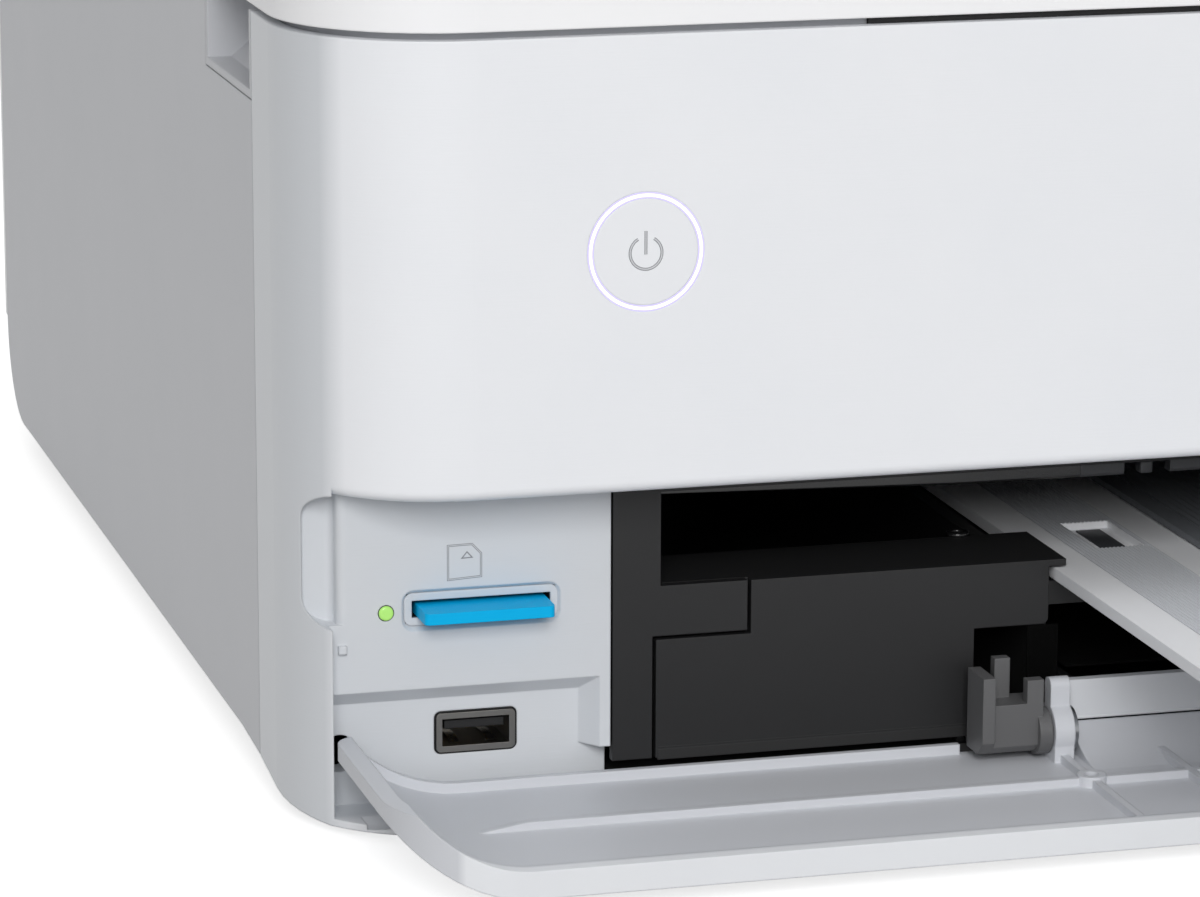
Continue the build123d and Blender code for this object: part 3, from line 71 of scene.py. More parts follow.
def linear(hex_colour: str) -> tuple[float, float, float, float]:
    """Turns an sRGB hex colour into the linear values that a shader socket takes.

    Args:
        hex_colour: Six hex digits after a hash sign.

    Returns:
        Red, green, blue and an alpha of 1.
    """
    parts = [int(hex_colour[i : i + 2], 16) / 255.0 for i in (1, 3, 5)]
    bent = [c / 12.92 if c <= 0.04045 else ((c + 0.055) / 1.055) ** 2.4 for c in parts]
    return (bent[0], bent[1], bent[2], 1.0)


def add_node(
    tree: bpy.types.NodeTree,
    kind: str,
    settings: Optional[dict[str, Any]] = None,
    links: Optional[dict[Any, bpy.types.NodeSocket]] = None,
    **attributes: Any,
) -> bpy.types.Node:
    """Adds a shader node with its socket values and incoming links.

    Args:
        tree: Node tree that gets the node.
        kind: Blender's name of the node type.
        settings: Socket name or number to value.
        links: Socket name or number to the output that feeds it.
        **attributes: Properties of the node itself.

    Returns:
        The new node.
    """
    node = tree.nodes.new(kind)
    for name, value in attributes.items():
        setattr(node, name, value)
    for key, value in (settings or {}).items():
        node.inputs[key].default_value = value
    for key, source in (links or {}).items():
        tree.links.new(source, node.inputs[key])
    return node


class Grain(Enum):
    """How a surface's fine pattern runs."""

    STREAKS = "streaks"
    PEBBLE = "pebble"
    NONE = "none"


@dataclass(frozen=True)
class Finish:
    """A real material with the way its surface was made.

    Attributes:
        name: The material's common name and how it was made.
        colour: Its sRGB hex colour.
        shade: A second hex colour that it drifts to in patches.
        roughness: Shader roughness.
        metallic: 1 for bare metal.
        ior: Index of refraction.
        grain: How the fine pattern runs.
        grain_mm: Length and width of one mark of the pattern.
        relief_mm: Height of the pattern.
        edge_mm: Radius that softens the moulded edges in the shading.
        coat: Weight of a clear gloss layer.
        glow: Strength of its own light.
        clear: Share of light that passes through.
        specular: Specular level.
        inset: Hex colour of what lies further back, if it differs; on the fascia and the front
            cover it is painted shade.
        inset_mm: Depth behind the fascia's front at which that colour starts.
        fade_mm: Depth over which it comes in.
        above_mm: Height below which the surface keeps its first colour.
    """

    name: str
    colour: str
    shade: str
    roughness: float
    metallic: float = 0.0
    ior: float = 1.5
    grain: Grain = Grain.PEBBLE
    grain_mm: tuple[float, float] = (0.6, 0.6)
    relief_mm: float = 0.01
    edge_mm: float = 0.0
    coat: float = 0.0
    glow: float = 0.0
    clear: float = 0.0
    specular: float = 0.5
    inset: str = ""
    inset_mm: float = 9.0
    fade_mm: float = 4.0
    above_mm: float = -10.0

    def material(self) -> bpy.types.Material:
        """Builds the material, or finds it if it was built before.

        Returns:
            The material, whose patterns follow the object's own coordinates.
        """
        found = bpy.data.materials.get(self.name)
        if found:
            return found
        material = bpy.data.materials.new(self.name)
        material.use_nodes = True
        tree = material.node_tree
        tree.nodes.clear()
        shader = add_node(
            tree,
            "ShaderNodeBsdfPrincipled",
            {
                "Roughness": self.roughness,
                "Metallic": self.metallic,
                "IOR": self.ior,
                "Coat Weight": self.coat,
                "Coat Roughness": COAT_ROUGHNESS,
                "Specular IOR Level": self.specular,
                "Transmission Weight": self.clear,
                "Base Color": linear(self.colour),
            },
        )
        if self.glow:
            shader.inputs["Emission Color"].default_value = linear(self.colour)
            shader.inputs["Emission Strength"].default_value = self.glow
        coordinates = add_node(tree, "ShaderNodeTexCoord").outputs["Object"]
        self._tint(tree, shader, coordinates)
        self._relief(tree, shader, coordinates)
        add_node(tree, "ShaderNodeOutputMaterial", links={"Surface": shader.outputs[0]})
        material.diffuse_color = linear(self.colour)
        return material

    def _tint(
        self, tree: bpy.types.NodeTree, shader: bpy.types.Node, coordinates: bpy.types.NodeSocket
    ) -> None:
        """Lets the colour drift to its second shade in soft patches, and changes it further back.

        The inset colour's share is the smaller of two ramps, one over the depth behind the
        fascia and one over the height.

        Args:
            tree: The material's node tree.
            shader: Its surface shader, whose colour is set.
            coordinates: Output that gives the object's own coordinates.
        """
        cloud = add_node(
            tree, "ShaderNodeTexNoise", {"Scale": 1 / (PATCH_MM * MM), "Detail": 2.0},
            {"Vector": coordinates},
        )
        mix = add_node(
            tree, "ShaderNodeMix", {6: linear(self.colour), 7: linear(self.shade)},
            {0: cloud.outputs[0]}, data_type="RGBA",
        )
        colour = mix.outputs[2]
        # On the fascia and the front cover this second colour is painted shade.
        if self.inset:
            parts = add_node(tree, "ShaderNodeSeparateXYZ", links={0: coordinates})
            start = (FASCIA_Y_MM + self.inset_mm) * MM
            share = add_node(
                tree, "ShaderNodeMapRange",
                {"From Min": start, "From Max": start + self.fade_mm * MM},
                {"Value": parts.outputs[1]},
            )
            top = (self.above_mm + ABOVE_FADE_MM) * MM
            above = add_node(
                tree, "ShaderNodeMapRange", {"From Min": self.above_mm * MM, "From Max": top},
                {"Value": parts.outputs[2]},
            )
            both = add_node(
                tree, "ShaderNodeMath", links={0: share.outputs[0], 1: above.outputs[0]},
                operation="MINIMUM",
            )
            inner = add_node(
                tree, "ShaderNodeMix", {7: linear(self.inset)}, {0: both.outputs[0], 6: colour},
                data_type="RGBA",
            )
            colour = inner.outputs[2]
        tree.links.new(colour, shader.inputs["Base Color"])

    def _relief(
        self, tree: bpy.types.NodeTree, shader: bpy.types.Node, coordinates: bpy.types.NodeSocket
    ) -> None:
        """Adds the grain as bumps of its real size, over edges softened by the mould's radius.

        Args:
            tree: The material's node tree.
            shader: Its surface shader, whose normal is set.
            coordinates: Output that gives the object's own coordinates.
        """
        normal = None
        if self.edge_mm:
            soft = add_node(tree, "ShaderNodeBevel", {"Radius": self.edge_mm * MM}, samples=6)
            normal = soft.outputs[0]
        if self.grain is not Grain.NONE:
            length, width = self.grain_mm
            across = width if self.grain is Grain.STREAKS else length
            scale = (1 / (length * MM), 1 / (length * MM), 1 / (across * MM))
            spread = add_node(
                tree, "ShaderNodeMapping", {"Scale": scale}, {"Vector": coordinates}
            )
            marks = add_node(
                tree, "ShaderNodeTexNoise", {"Scale": 1.0, "Detail": 3.0, "Roughness": 0.6},
                {"Vector": spread.outputs[0]},
            )
            bump = add_node(
                tree, "ShaderNodeBump", {"Strength": 1.0, "Distance": self.relief_mm * MM},
                {"Height": marks.outputs[0]},
            )
            if normal:
                tree.links.new(normal, bump.inputs["Normal"])
            normal = bump.outputs[0]
        if normal:
            tree.links.new(normal, shader.inputs["Normal"])


# Injection moulded ABS, sprayed in a cool white: satin, with faint level streaks in the grain
WHITE_SHELL = Finish(
    "abs_white_streaked", "#CACBCF", "#C5C7CB", 0.45, grain=Grain.STREAKS, grain_mm=(7.0, 0.35),
    relief_mm=0.02, edge_mm=0.5, specular=0.35,
)
# The fascia's own ABS; its recessed panel and opening are coloured greyer as painted shade under
# the fascia's overhang
WHITE_FASCIA = Finish(
    "abs_white_fascia", "#F4F5F8", "#EFF1F5", 0.4, grain=Grain.STREAKS, grain_mm=(7.0, 0.35),
    relief_mm=0.02, edge_mm=0.5, inset="#D5D8DC",
)
# Scanner and lid, from a brighter white batch
WHITE_LID = Finish(
    "abs_bright_white_streaked", "#FCFCFD", "#F9F9FB", 0.42, grain=Grain.STREAKS,
    grain_mm=(7.0, 0.35), relief_mm=0.012, edge_mm=0.5,
)
# Tray: smooth light ABS, a little glossy where it slides
WHITE_TRAY = Finish("abs_white_smooth", "#F6F7F9", "#F2F3F6", 0.45, relief_mm=0.006, edge_mm=0.3)
# Light front wall of the cassette, with the trough behind it in black
CASSETTE = Finish(
    "abs_grey_white_front", "#E6E8EB", "#E1E3E7", 0.48, relief_mm=0.008, edge_mm=0.3,
    inset="#141415", inset_mm=13.1, fade_mm=0.2, specular=0.3,
)
# Front cover: white ABS, a touch flatter on its inner side, which is coloured greyer as painted
# shade
WHITE_INNER = Finish(
    "abs_white_fine", "#EDEFF2", "#E8EAEE", 0.48, grain=Grain.STREAKS, grain_mm=(5.0, 0.35),
    relief_mm=0.012, edge_mm=0.45, inset="#D1D3D8", inset_mm=-41.6, fade_mm=0.8,
    above_mm=4.6,
)
# Black polystyrene of the inner frame: satin, with faint level streaks
BLACK_INNER = Finish(
    "polystyrene_black_satin", "#1D1D1E", "#212122", 0.5, grain=Grain.STREAKS, grain_mm=(3.0, 0.3),
    relief_mm=0.008, edge_mm=0.3, specular=0.32,
)
# Deep inside, unlit black parts
BLACK_DEEP = Finish("polystyrene_black_deep", "#0D0D0E", "#101011", 0.65, edge_mm=0.2)
# Near-black flat finish that paints the shade inside the cassette bay
BAY_SHADE_BLACK = Finish("black_painted_bay_shade", "#060606", "#080808", 0.95, relief_mm=0.03, specular=0.05)
# Grey acetal of the hinge brackets: tough, slightly waxy
GREY_ACETAL = Finish(
    "acetal_grey_moulded", "#626263", "#5C5C5D", 0.45, relief_mm=0.006, edge_mm=0.35
)
# Dark grey acetal of guides and ink caps, a little waxy
SLATE_ACETAL = Finish(
    "acetal_slate_moulded", "#3B3D40", "#37393C", 0.5, relief_mm=0.006, edge_mm=0.3
)
# Mid grey ABS of the sliding stage in the tray
GREY_STAGE = Finish(
    "abs_mid_grey_moulded", "#75787D", "#707378", 0.5, relief_mm=0.006, edge_mm=0.3
)
# Card in a bright blue polycarbonate shell
BLUE_CARD = Finish(
    "polycarbonate_blue_card", "#02BAF4", "#02B3EC", 0.5, relief_mm=0.004, edge_mm=0.25,
    specular=0.15,
)
# Stamped and plated steel of the host port
PORT_STEEL = Finish(
    "steel_nickel_plated", "#8C8A86", "#7E7C79", 0.28, metallic=1.0, relief_mm=0.003, edge_mm=0.15
)
# Drawn and zinc plated steel rods, rails and frames
ROD_STEEL = Finish("steel_zinc_plated", "#9FA1A3", "#94969A", 0.3, metallic=1.0, relief_mm=0.003)
# Synthetic rubber of feet and rollers
RUBBER = Finish("rubber_black_moulded", "#1B1B1C", "#202021", 0.8, relief_mm=0.02)
# Float glass of the scanner
FLOAT_GLASS = Finish(
    "glass_float_clear", "#DDE8E6", "#DDE8E6", 0.03, ior=1.52, grain=Grain.NONE, clear=0.85
)
# Gloss black acrylic of the display
DISPLAY = Finish(
    "acrylic_black_polished", "#0A0B0D", "#0C0D0F", 0.08, grain=Grain.NONE, coat=0.6
)
# Smoked clear polycarbonate over the tanks
SMOKED = Finish(
    "polycarbonate_smoked_clear", "#BCC2CA", "#B8BEC6", 0.05, ior=1.58, grain=Grain.NONE, clear=0.96
)
# Blow moulded translucent polypropylene of the tanks
TANK = Finish("polypropylene_translucent", "#5A5F68", "#4E535C", 0.35, clear=0.15, relief_mm=0.02)
# Light ring: frosted acrylic lit white with a lilac cast
RING_LIGHT = Finish("acrylic_frosted_lit", "#F4F1FF", "#F4F1FF", 0.5, grain=Grain.NONE, glow=0.75)
# Small green lamp lens
GREEN_LENS = Finish(
    "epoxy_green_lens", "#A6DD6E", "#9CD662", 0.2, grain=Grain.NONE, glow=0.3, coat=0.4
)
# Solder-masked glass fibre board
BOARD = Finish("glass_fibre_green_mask", "#12462A", "#0F3D24", 0.35, relief_mm=0.02)
# White felt and foam of the lid's pad
PAD_FOAM = Finish("foam_white_faced", "#F0F0EE", "#EAEAE8", 0.9, relief_mm=0.03)
# Grey print of the card sign and the standby sign
ETCHED = Finish("abs_grey_printed", "#8E9094", "#8A8C90", 0.5, grain=Grain.NONE)
# The panel's ABS on the small parts in it, in the recessed panel's painted shade
WHITE_PANEL = Finish("abs_white_panel", "#D5D8DC", "#D0D3D7", 0.45, relief_mm=0.008, edge_mm=0.3)
# Light core of a printed line: a painted highlight along its middle, as on the lit floor of a
# shallow groove
ETCHED_HIGHLIGHT = Finish("painted_groove_highlight", "#D5D6DA", "#D1D2D6", 0.5, grain=Grain.NONE)
# Lilac line where the light leaks round the ring
LILAC_EDGE = Finish("acrylic_lilac_lit", "#CDC6F2", "#CAC3F0", 0.5, grain=Grain.NONE, glow=0.35)
# Polished black polystyrene that mirrors a little
GLOSS_BLACK = Finish(
    "polystyrene_black_gloss", "#161617", "#1A1A1B", 0.22, relief_mm=0.004, edge_mm=0.2
)
# Grey ABS of the beam over the mouth
GREY_BEAM = Finish("abs_grey_moulded", "#333437", "#303134", 0.5, relief_mm=0.008, edge_mm=0.25)
# Ribbed part of the tray: the same grey white as the tray, duller
TRAY_RIBS = Finish("abs_grey_ribbed", "#CDCFD4", "#C8CACF", 0.55, relief_mm=0.004)
# Bright springs of rolled stainless strip
SPRING_STEEL = Finish(
    "steel_stainless_rolled", "#C9C8C5", "#BDBCB9", 0.25, metallic=1.0, relief_mm=0.002
)
# Gold flash over nickel on the contacts
GOLD_CONTACT = Finish(
    "gold_plated_contact", "#D9B45A", "#CFA94F", 0.25, metallic=1.0, relief_mm=0.002
)
# White silk-screen ink on the gloss panel
PRINTED_WHITE = Finish("ink_white_screened", "#D9DDE0", "#D3D7DA", 0.5, grain=Grain.NONE)
# Light grey ledge between the fascia and the scanner
GREY_LEDGE = Finish(
    "abs_light_grey_moulded", "#B9BBC0", "#B5B7BC", 0.5, relief_mm=0.008, edge_mm=0.3
)
# Dye inks behind the window, in the order of the tanks
INKS: tuple[Finish, ...] = tuple(
    Finish(f"dye_ink_{word}", colour, shade, 0.25, grain=Grain.NONE)
    for word, colour, shade in (
        ("black", "#141416", "#1B1B1D"),
        ("cyan", "#0E86B8", "#0B79A8"),
        ("magenta", "#B3236F", "#A31F65"),
        ("yellow", "#D9BE1E", "#CDB21A"),
        ("pale_cyan", "#7FC4DC", "#74B9D1"),
        ("pale_magenta", "#DC92B4", "#D187A9"),
    )
)

NODE_FINISHES: dict[Finish, tuple[str, ...]] = {
    WHITE_FASCIA: ("front_fascia", "power_button", "tank_housing"),
    WHITE_SHELL: ("left_side_cover", "right_side_cover", "grip_cups"),
    WHITE_LID: ("scanner_unit", "document_lid", "rear_cover", "rear_top_cover", "rear_flap"),
    WHITE_INNER: ("front_cover",),
    WHITE_TRAY: ("output_tray",),
    CASSETTE: ("lower_cassette",),
    BLACK_INNER: (
        "inner_frame", "inner_plate", "card_slot", "port_frame", "port_tongue", "upper_cassette",
    ),
    GREY_LEDGE: ("top_frame",),
    BLACK_DEEP: (
        "base_pan", "power_switch", "paper_chute", "print_carriage", "mains_inlet", "scan_bar",
    ),
    GREY_ACETAL: ("hinge_bracket_left", "hinge_bracket_right"),
    GREY_STAGE: ("tray_extension",),
    SLATE_ACETAL: (
        "paper_guide_left", "paper_guide_right", "feed_guide_left", "feed_guide_right",
        *(f"ink_cap_{number}" for number in range(1, 7)),
    ),
    BLUE_CARD: ("memory_card",),
    PORT_STEEL: ("port_shell", "rear_sockets"),
    ROD_STEEL: ("scan_rod", "lid_pins", "carriage_rail", "engine_frames", "hinge_pins"),
    RUBBER: ("feet", "feed_roller"),
    FLOAT_GLASS: ("scanner_glass",),
    DISPLAY: ("display_glass", "control_panel"),
    SMOKED: ("tank_window",),
    TANK: ("ink_tanks",),
    RING_LIGHT: ("power_ring_light",),
    GREEN_LENS: ("status_light",),
    BOARD: ("main_board",),
    PAD_FOAM: ("lid_pad",),
}


def dress(obj: bpy.types.Object, finish: Finish) -> None:
    """Gives an object one finish in place of its own slots."""
    obj.data.materials.clear()
    obj.data.materials.append(finish.material())


def add_object(name: str, points: np.ndarray, faces: list[list[int]]) -> bpy.types.Object:
    """Makes a flat-shaded object from points and faces, at the origin.

    Args:
        name: Name of the piece.
        points: One row of x, y and z per vertex, in metres.
        faces: The vertex numbers of each face.

    Returns:
        The linked object.
    """
    mesh = bpy.data.meshes.new(name)
    mesh.from_pydata(points.tolist(), [], faces)
    obj = bpy.data.objects.new(name, mesh)
    bpy.context.collection.objects.link(obj)
    return obj


def place(x: Any, d: Any, z: Any) -> np.ndarray:
    """Turns X, depth behind the fascia and height in millimetres into points in metres."""
    x, d, z = np.broadcast_arrays(*(np.asarray(part, float) for part in (x, d, z)))
    return np.stack([x, d + FASCIA_Y_MM, z], axis=-1) * MM


def close_up(obj: bpy.types.Object) -> None:
    """Merges a piece's doubles and turns its faces outwards.

    Args:
        obj: The piece, whose mesh is changed.
    """
    work = bmesh.new()
    work.from_mesh(obj.data)
    bmesh.ops.remove_doubles(work, verts=work.verts, dist=DOUBLE_M)
    bmesh.ops.recalc_face_normals(work, faces=work.faces)
    work.to_mesh(obj.data)
    work.free()


def lattice(
    name: str, points: np.ndarray, close_u: bool = False, smooth: bool = True
) -> bpy.types.Object:
    """Joins a grid of points into a closed skin.

    Each point (i, j) is joined to (i + 1, j), (i + 1, j + 1) and (i, j + 1), and the last
    column joins the first. Where u isn't closed, its first and last rows are each covered by
    one flat face.

    Args:
        name: Name of the piece.
        points: Array of u rows, v columns and x, y, z in metres.
        close_u: Whether the last row joins the first.
        smooth: Whether the faces are shaded smooth.

    Returns:
        The linked object.
    """
    rows, columns = points.shape[:2]
    i = np.arange(rows if close_u else rows - 1)[:, None]
    j = np.arange(columns)[None, :]
    here, below = i * columns, (i + 1) % rows * columns
    right = (j + 1) % columns
    quads = np.stack([here + j, below + j, below + right, here + right], axis=-1)
    faces = quads.reshape(-1, 4).tolist()
    if not close_u:
        first = np.arange(columns)
        faces += [first.tolist(), (first[::-1] + (rows - 1) * columns).tolist()]
    obj = add_object(name, points.reshape(-1, 3), faces)
    close_up(obj)
    obj.data.polygons.foreach_set("use_smooth", np.full(len(obj.data.polygons), smooth))
    return obj


def rounded_block(
    name: str,
    x: tuple[float, float],
    d: tuple[float, float],
    z: tuple[float, float],
    radius: float,
    steps: int = 4,
) -> bpy.types.Object:
    """Makes a block with all its edges rounded.

    Each direction of a ball, given by its turn and its tilt, is moved out to the corner that
    it points at: point = middle + sign of direction x (half size - radius) + radius x
    direction.

    Args:
        name: Name of the piece.
        x: Left and right side in millimetres.
        d: Front and rear, as depths behind the fascia.
        z: Lower and upper side.
        radius: Radius of the edges.
        steps: Points along a quarter turn.

    Returns:
        The linked object.
    """
    spans = np.array([x, d, z], float)
    middle, half = spans.mean(axis=1), np.ptp(spans, axis=1) / 2
    quarter = np.linspace(0.0, math.pi / 2, steps)
    turn = (quarter[None, :] + math.pi / 2 * np.arange(4)[:, None]).ravel()
    turn_side = np.repeat([[1, 1], [-1, 1], [-1, -1], [1, -1]], steps, axis=0)
    tilt = np.concatenate([quarter - math.pi / 2, quarter])
    tilt_side = np.repeat([-1, 1], steps)
    level, up = np.cos(tilt)[:, None], np.sin(tilt)[:, None]
    ball = np.stack(np.broadcast_arrays(level * np.cos(turn), level * np.sin(turn), up), axis=-1)
    side_x, side_d = turn_side[None, :, 0], turn_side[None, :, 1]
    side = np.stack(np.broadcast_arrays(side_x, side_d, tilt_side[:, None]), axis=-1)
    points = middle + side * (half - radius) + radius * ball
    return lattice(name, place(points[..., 0], points[..., 1], points[..., 2]))


def line_sides(path: np.ndarray, closed: bool) -> np.ndarray:
    """Finds the sideways step of one unit at each point of a flat path.

    It is longer at a corner, which so stays sharp: the sum of the two runs' normals, divided
    by one plus their cosine.

    Args:
        path: Rows of two coordinates.
        closed: Whether the path comes back to its start.

    Returns:
        One step per row.
    """
    ahead = np.roll(path, -1, axis=0) - path
    if not closed:
        ahead[-1] = ahead[-2]
    ahead = ahead / np.linalg.norm(ahead, axis=1, keepdims=True)
    normal = np.stack([-ahead[:, 1], ahead[:, 0]], axis=1)
    before = np.roll(normal, 1, axis=0)
    if not closed:
        before[0] = normal[0]
    cosine = (normal * before).sum(axis=1, keepdims=True)
    return (normal + before) / (1 + cosine)


def raised_line(
    name: str,
    path: np.ndarray,
    width: float,
    front: float,
    closed: bool,
    sunk: float = 0.3,
    round_off: float = 0.3,
) -> bpy.types.Object:
    """Carries a low flat-topped profile along a path on a wall that faces the front.

    Args:
        name: Name of the piece.
        path: Rows of X and height in millimetres.
        width: Width of the line.
        front: Depth of its face.
        closed: Whether the path comes back to its start.
        sunk: How far its foot reaches into the wall.
        round_off: Share of the half width by which the face is narrower than the foot.

    Returns:
        The linked object.
    """
    half = width / 2
    flat_half, corner = half * (1 - round_off), 0.02
    across = np.array([-half, -half, -flat_half, flat_half, half, half])
    back = np.array([sunk, corner, 0.0, 0.0, corner, sunk])
    side = line_sides(path, closed)
    flat = path[:, None, :] + across[None, :, None] * side[:, None, :]
    points = place(flat[..., 0], front + back[None, :], flat[..., 1])
    return lattice(name, points, close_u=closed, smooth=False)


def arc_path(
    centre: tuple[float, float], radius: float, start_deg: float, end_deg: float, count: int
) -> np.ndarray:
    """Gives an arc's points in a plane: centre + radius x cosine and sine of even angles.

    Args:
        centre: The arc's middle.
        radius: Its radius.
        start_deg: Angle of its first point.
        end_deg: Angle of its last point.
        count: Number of points.

    Returns:
        One row of two coordinates per point.
    """
    turn = np.radians(np.linspace(start_deg, end_deg, count))
    return np.array(centre) + radius * np.stack([np.cos(turn), np.sin(turn)], axis=1)


def circle_path(centre: tuple[float, float], radius: float, count: int) -> np.ndarray:
    """Gives the points of a whole circle, each once."""
    return arc_path(centre, radius, 0.0, 360.0, count + 1)[:-1]


def upright_bar(
    name: str, profile: np.ndarray, x: np.ndarray, shrink: Optional[np.ndarray] = None
) -> bpy.types.Object:
    """Carries a closed profile of depth and height along X.

    Args:
        name: Name of the piece.
        profile: Rows of depth and height in millimetres.
        x: The places along X.
        shrink: Height of the profile at each place, as a share of the full one.

    Returns:
        The linked object.
    """
    top = profile[:, 1].max()
    share = np.ones(len(x)) if shrink is None else shrink
    height = top - (top - profile[None, :, 1]) * share[:, None]
    points = place(x[:, None], profile[None, :, 0], height)
    return lattice(name, points, smooth=False)


def corrugation(
    name: str,
    x: tuple[float, float],
    d: tuple[float, float],
    foot: float,
    top: float,
    pitch: float,
) -> bpy.types.Object:
    """Makes a flat bed of fine ribs that run to the rear.

    Height = foot + (top - foot) x (1 + cosine of 2 pi x X / pitch) / 2, over a flat underside.

    Args:
        name: Name of the piece.
        x: Left and right edge in millimetres.
        d: Front and rear end.
        foot: Height of the valleys.
        top: Height of the crests.
        pitch: Distance from crest to crest.

    Returns:
        The linked object.
    """
    steps_a_rib, thickness = 6, 0.1
    count = int(round((x[1] - x[0]) / pitch)) * steps_a_rib + 1
    across = np.linspace(x[0], x[1], count)
    height = foot + (top - foot) * (1 + np.cos(2 * math.pi * (across - x[0]) / pitch)) / 2
    under = foot - thickness
    loop_x = np.concatenate([across, across[[-1, 0]]])
    loop_z = np.concatenate([height, [under, under]])
    rows = np.array(d)[:, None]
    return lattice(name, place(loop_x[None, :], rows, loop_z[None, :]), smooth=False)


def mount(piece: bpy.types.Object, finish: Finish, body: str = "printer_body") -> None:
    """Dresses a piece and lets it ride on a body.

    Args:
        piece: The piece.
        finish: What it is made of.
        body: Body that carries it.
    """
    dress(piece, finish)
    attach(piece, body)
    LOG.info("piece %s rides on %s", piece.name, body)


@dataclass
class PowerMark:
    """Lilac edges of the lit ring and the standby sign on the button.

    Attributes:
        centre: X and height of the button's middle.
        edge_radii: Middle of each of the ring's two edge lines.
        edge_width: Width of an edge line.
        sign_centre: Middle of the sign's arc.
        sign_radius: Radius of its arc.
        sign_width: Width of its etched line.
        sign_gap: Angles at which its arc starts and ends.
        bar: X, lower and upper end of its bar.
    """

    centre: tuple[float, float] = (-200.6, 106.1)
    edge_radii: tuple[float, float] = (9.68, 10.52)
    edge_width: float = 0.3
    sign_centre: tuple[float, float] = (-200.6, 105.9)
    sign_radius: float = 2.9
    sign_width: float = 0.55
    sign_gap: tuple[float, float] = (120.0, 420.0)
    bar: tuple[float, float, float] = (-200.63, 105.65, 109.83)

    def build(self) -> None:
        """Makes the two edge lines and the sign, each line with a light core that is a painted
        highlight.
        """
        edge_proud, core_share = 0.04, 0.42
        for number, radius in enumerate(self.edge_radii, start=1):
            path = circle_path(self.centre, radius, RING_STEPS)
            edge = raised_line(f"ring_edge_{number}", path, self.edge_width, -edge_proud, True)
            mount(edge, LILAC_EDGE)
        arc = arc_path(self.sign_centre, self.sign_radius, *self.sign_gap, 61)
        x, low, high = self.bar
        core_width = self.sign_width * core_share
        for part, path in (("arc", arc), ("bar", np.array([[x, low], [x, high]]))):
            line = raised_line(f"standby_{part}", path, self.sign_width, -PRINT_MM, False)
            mount(line, ETCHED, "power_button")
            highlight = raised_line(f"standby_{part}_core", path, core_width, -CORE_MM, False)
            mount(highlight, ETCHED_HIGHLIGHT, "power_button")


@dataclass
class CardSign:
    """Outline of a card with an arrow over its slot, the slot's lip and the light's rim.

    Attributes:
        corners: X and height of the outline's corners.
        arrow: Corners of the triangle.
        line: Width of the outline.
        thin_line: Width of the arrow's line and the light's rim.
        wall: Depth of the panel that carries them.
        slot: Left, right, lower and upper middle line of the lip inside the slot.
        lip: Width of that lip, how far it lies behind the panel, and its thickness.
        lamp: X, height and radius of the status light.
    """

    corners: tuple[tuple[float, float], ...] = (
        (-232.85, 51.28), (-232.86, 44.99), (-226.77, 45.33), (-226.76, 49.59), (-228.42, 51.36),
    )
    arrow: tuple[tuple[float, float], ...] = ((-230.3, 48.85), (-229.34, 49.98), (-228.4, 48.92))
    line: float = 0.4
    thin_line: float = 0.22
    wall: float = 15.2
    slot: tuple[float, float, float, float] = (-240.1, -213.0, 37.45, 42.05)
    lip: tuple[float, float, float] = (1.4, 0.7, 0.75)
    lamp: tuple[float, float, float] = (-244.3, 39.6, 1.4)

    def build(self) -> None:
        """Makes the outline with its light core, a painted highlight, the slot's lip, the light's
        rim and the arrow.
        """
        face = self.wall - PRINT_MM
        path = np.array(self.corners)
        outline = raised_line("card_sign", path, self.line, face, True)
        mount(outline, ETCHED)
        core_share, core_proud, rim_proud = 0.35, 0.05, 0.04
        highlight = raised_line(
            "card_sign_highlight", path, self.line * core_share, self.wall - core_proud, True
        )
        mount(highlight, ETCHED_HIGHLIGHT)
        width, back, thickness = self.lip
        lip = raised_line(
            "card_slot_lip", self._slot_path(), width, self.wall + back, True, thickness, 0.5
        )
        mount(lip, WHITE_PANEL)
        x, z, radius = self.lamp
        path = circle_path((x, z), radius, 32)
        rim = raised_line("status_light_rim", path, self.thin_line, self.wall - rim_proud, True)
        mount(rim, GREY_BEAM)
        arrow = raised_line("card_sign_arrow", np.array(self.arrow), self.thin_line, face, True)
        mount(arrow, ETCHED)

    def _slot_path(self) -> np.ndarray:
        """Runs once round the slot's lip, with a quarter circle at each corner.

        Returns:
            One row of X and height per point.
        """
        corner = 0.8
        left, right, low, high = self.slot
        quarters = (
            ((right - corner, high - corner), 0.0), ((left + corner, high - corner), 90.0),
            ((left + corner, low + corner), 180.0), ((right - corner, low + corner), 270.0),
        )
        return np.concatenate([arc_path(c, corner, a, a + 90.0, 7) for c, a in quarters])


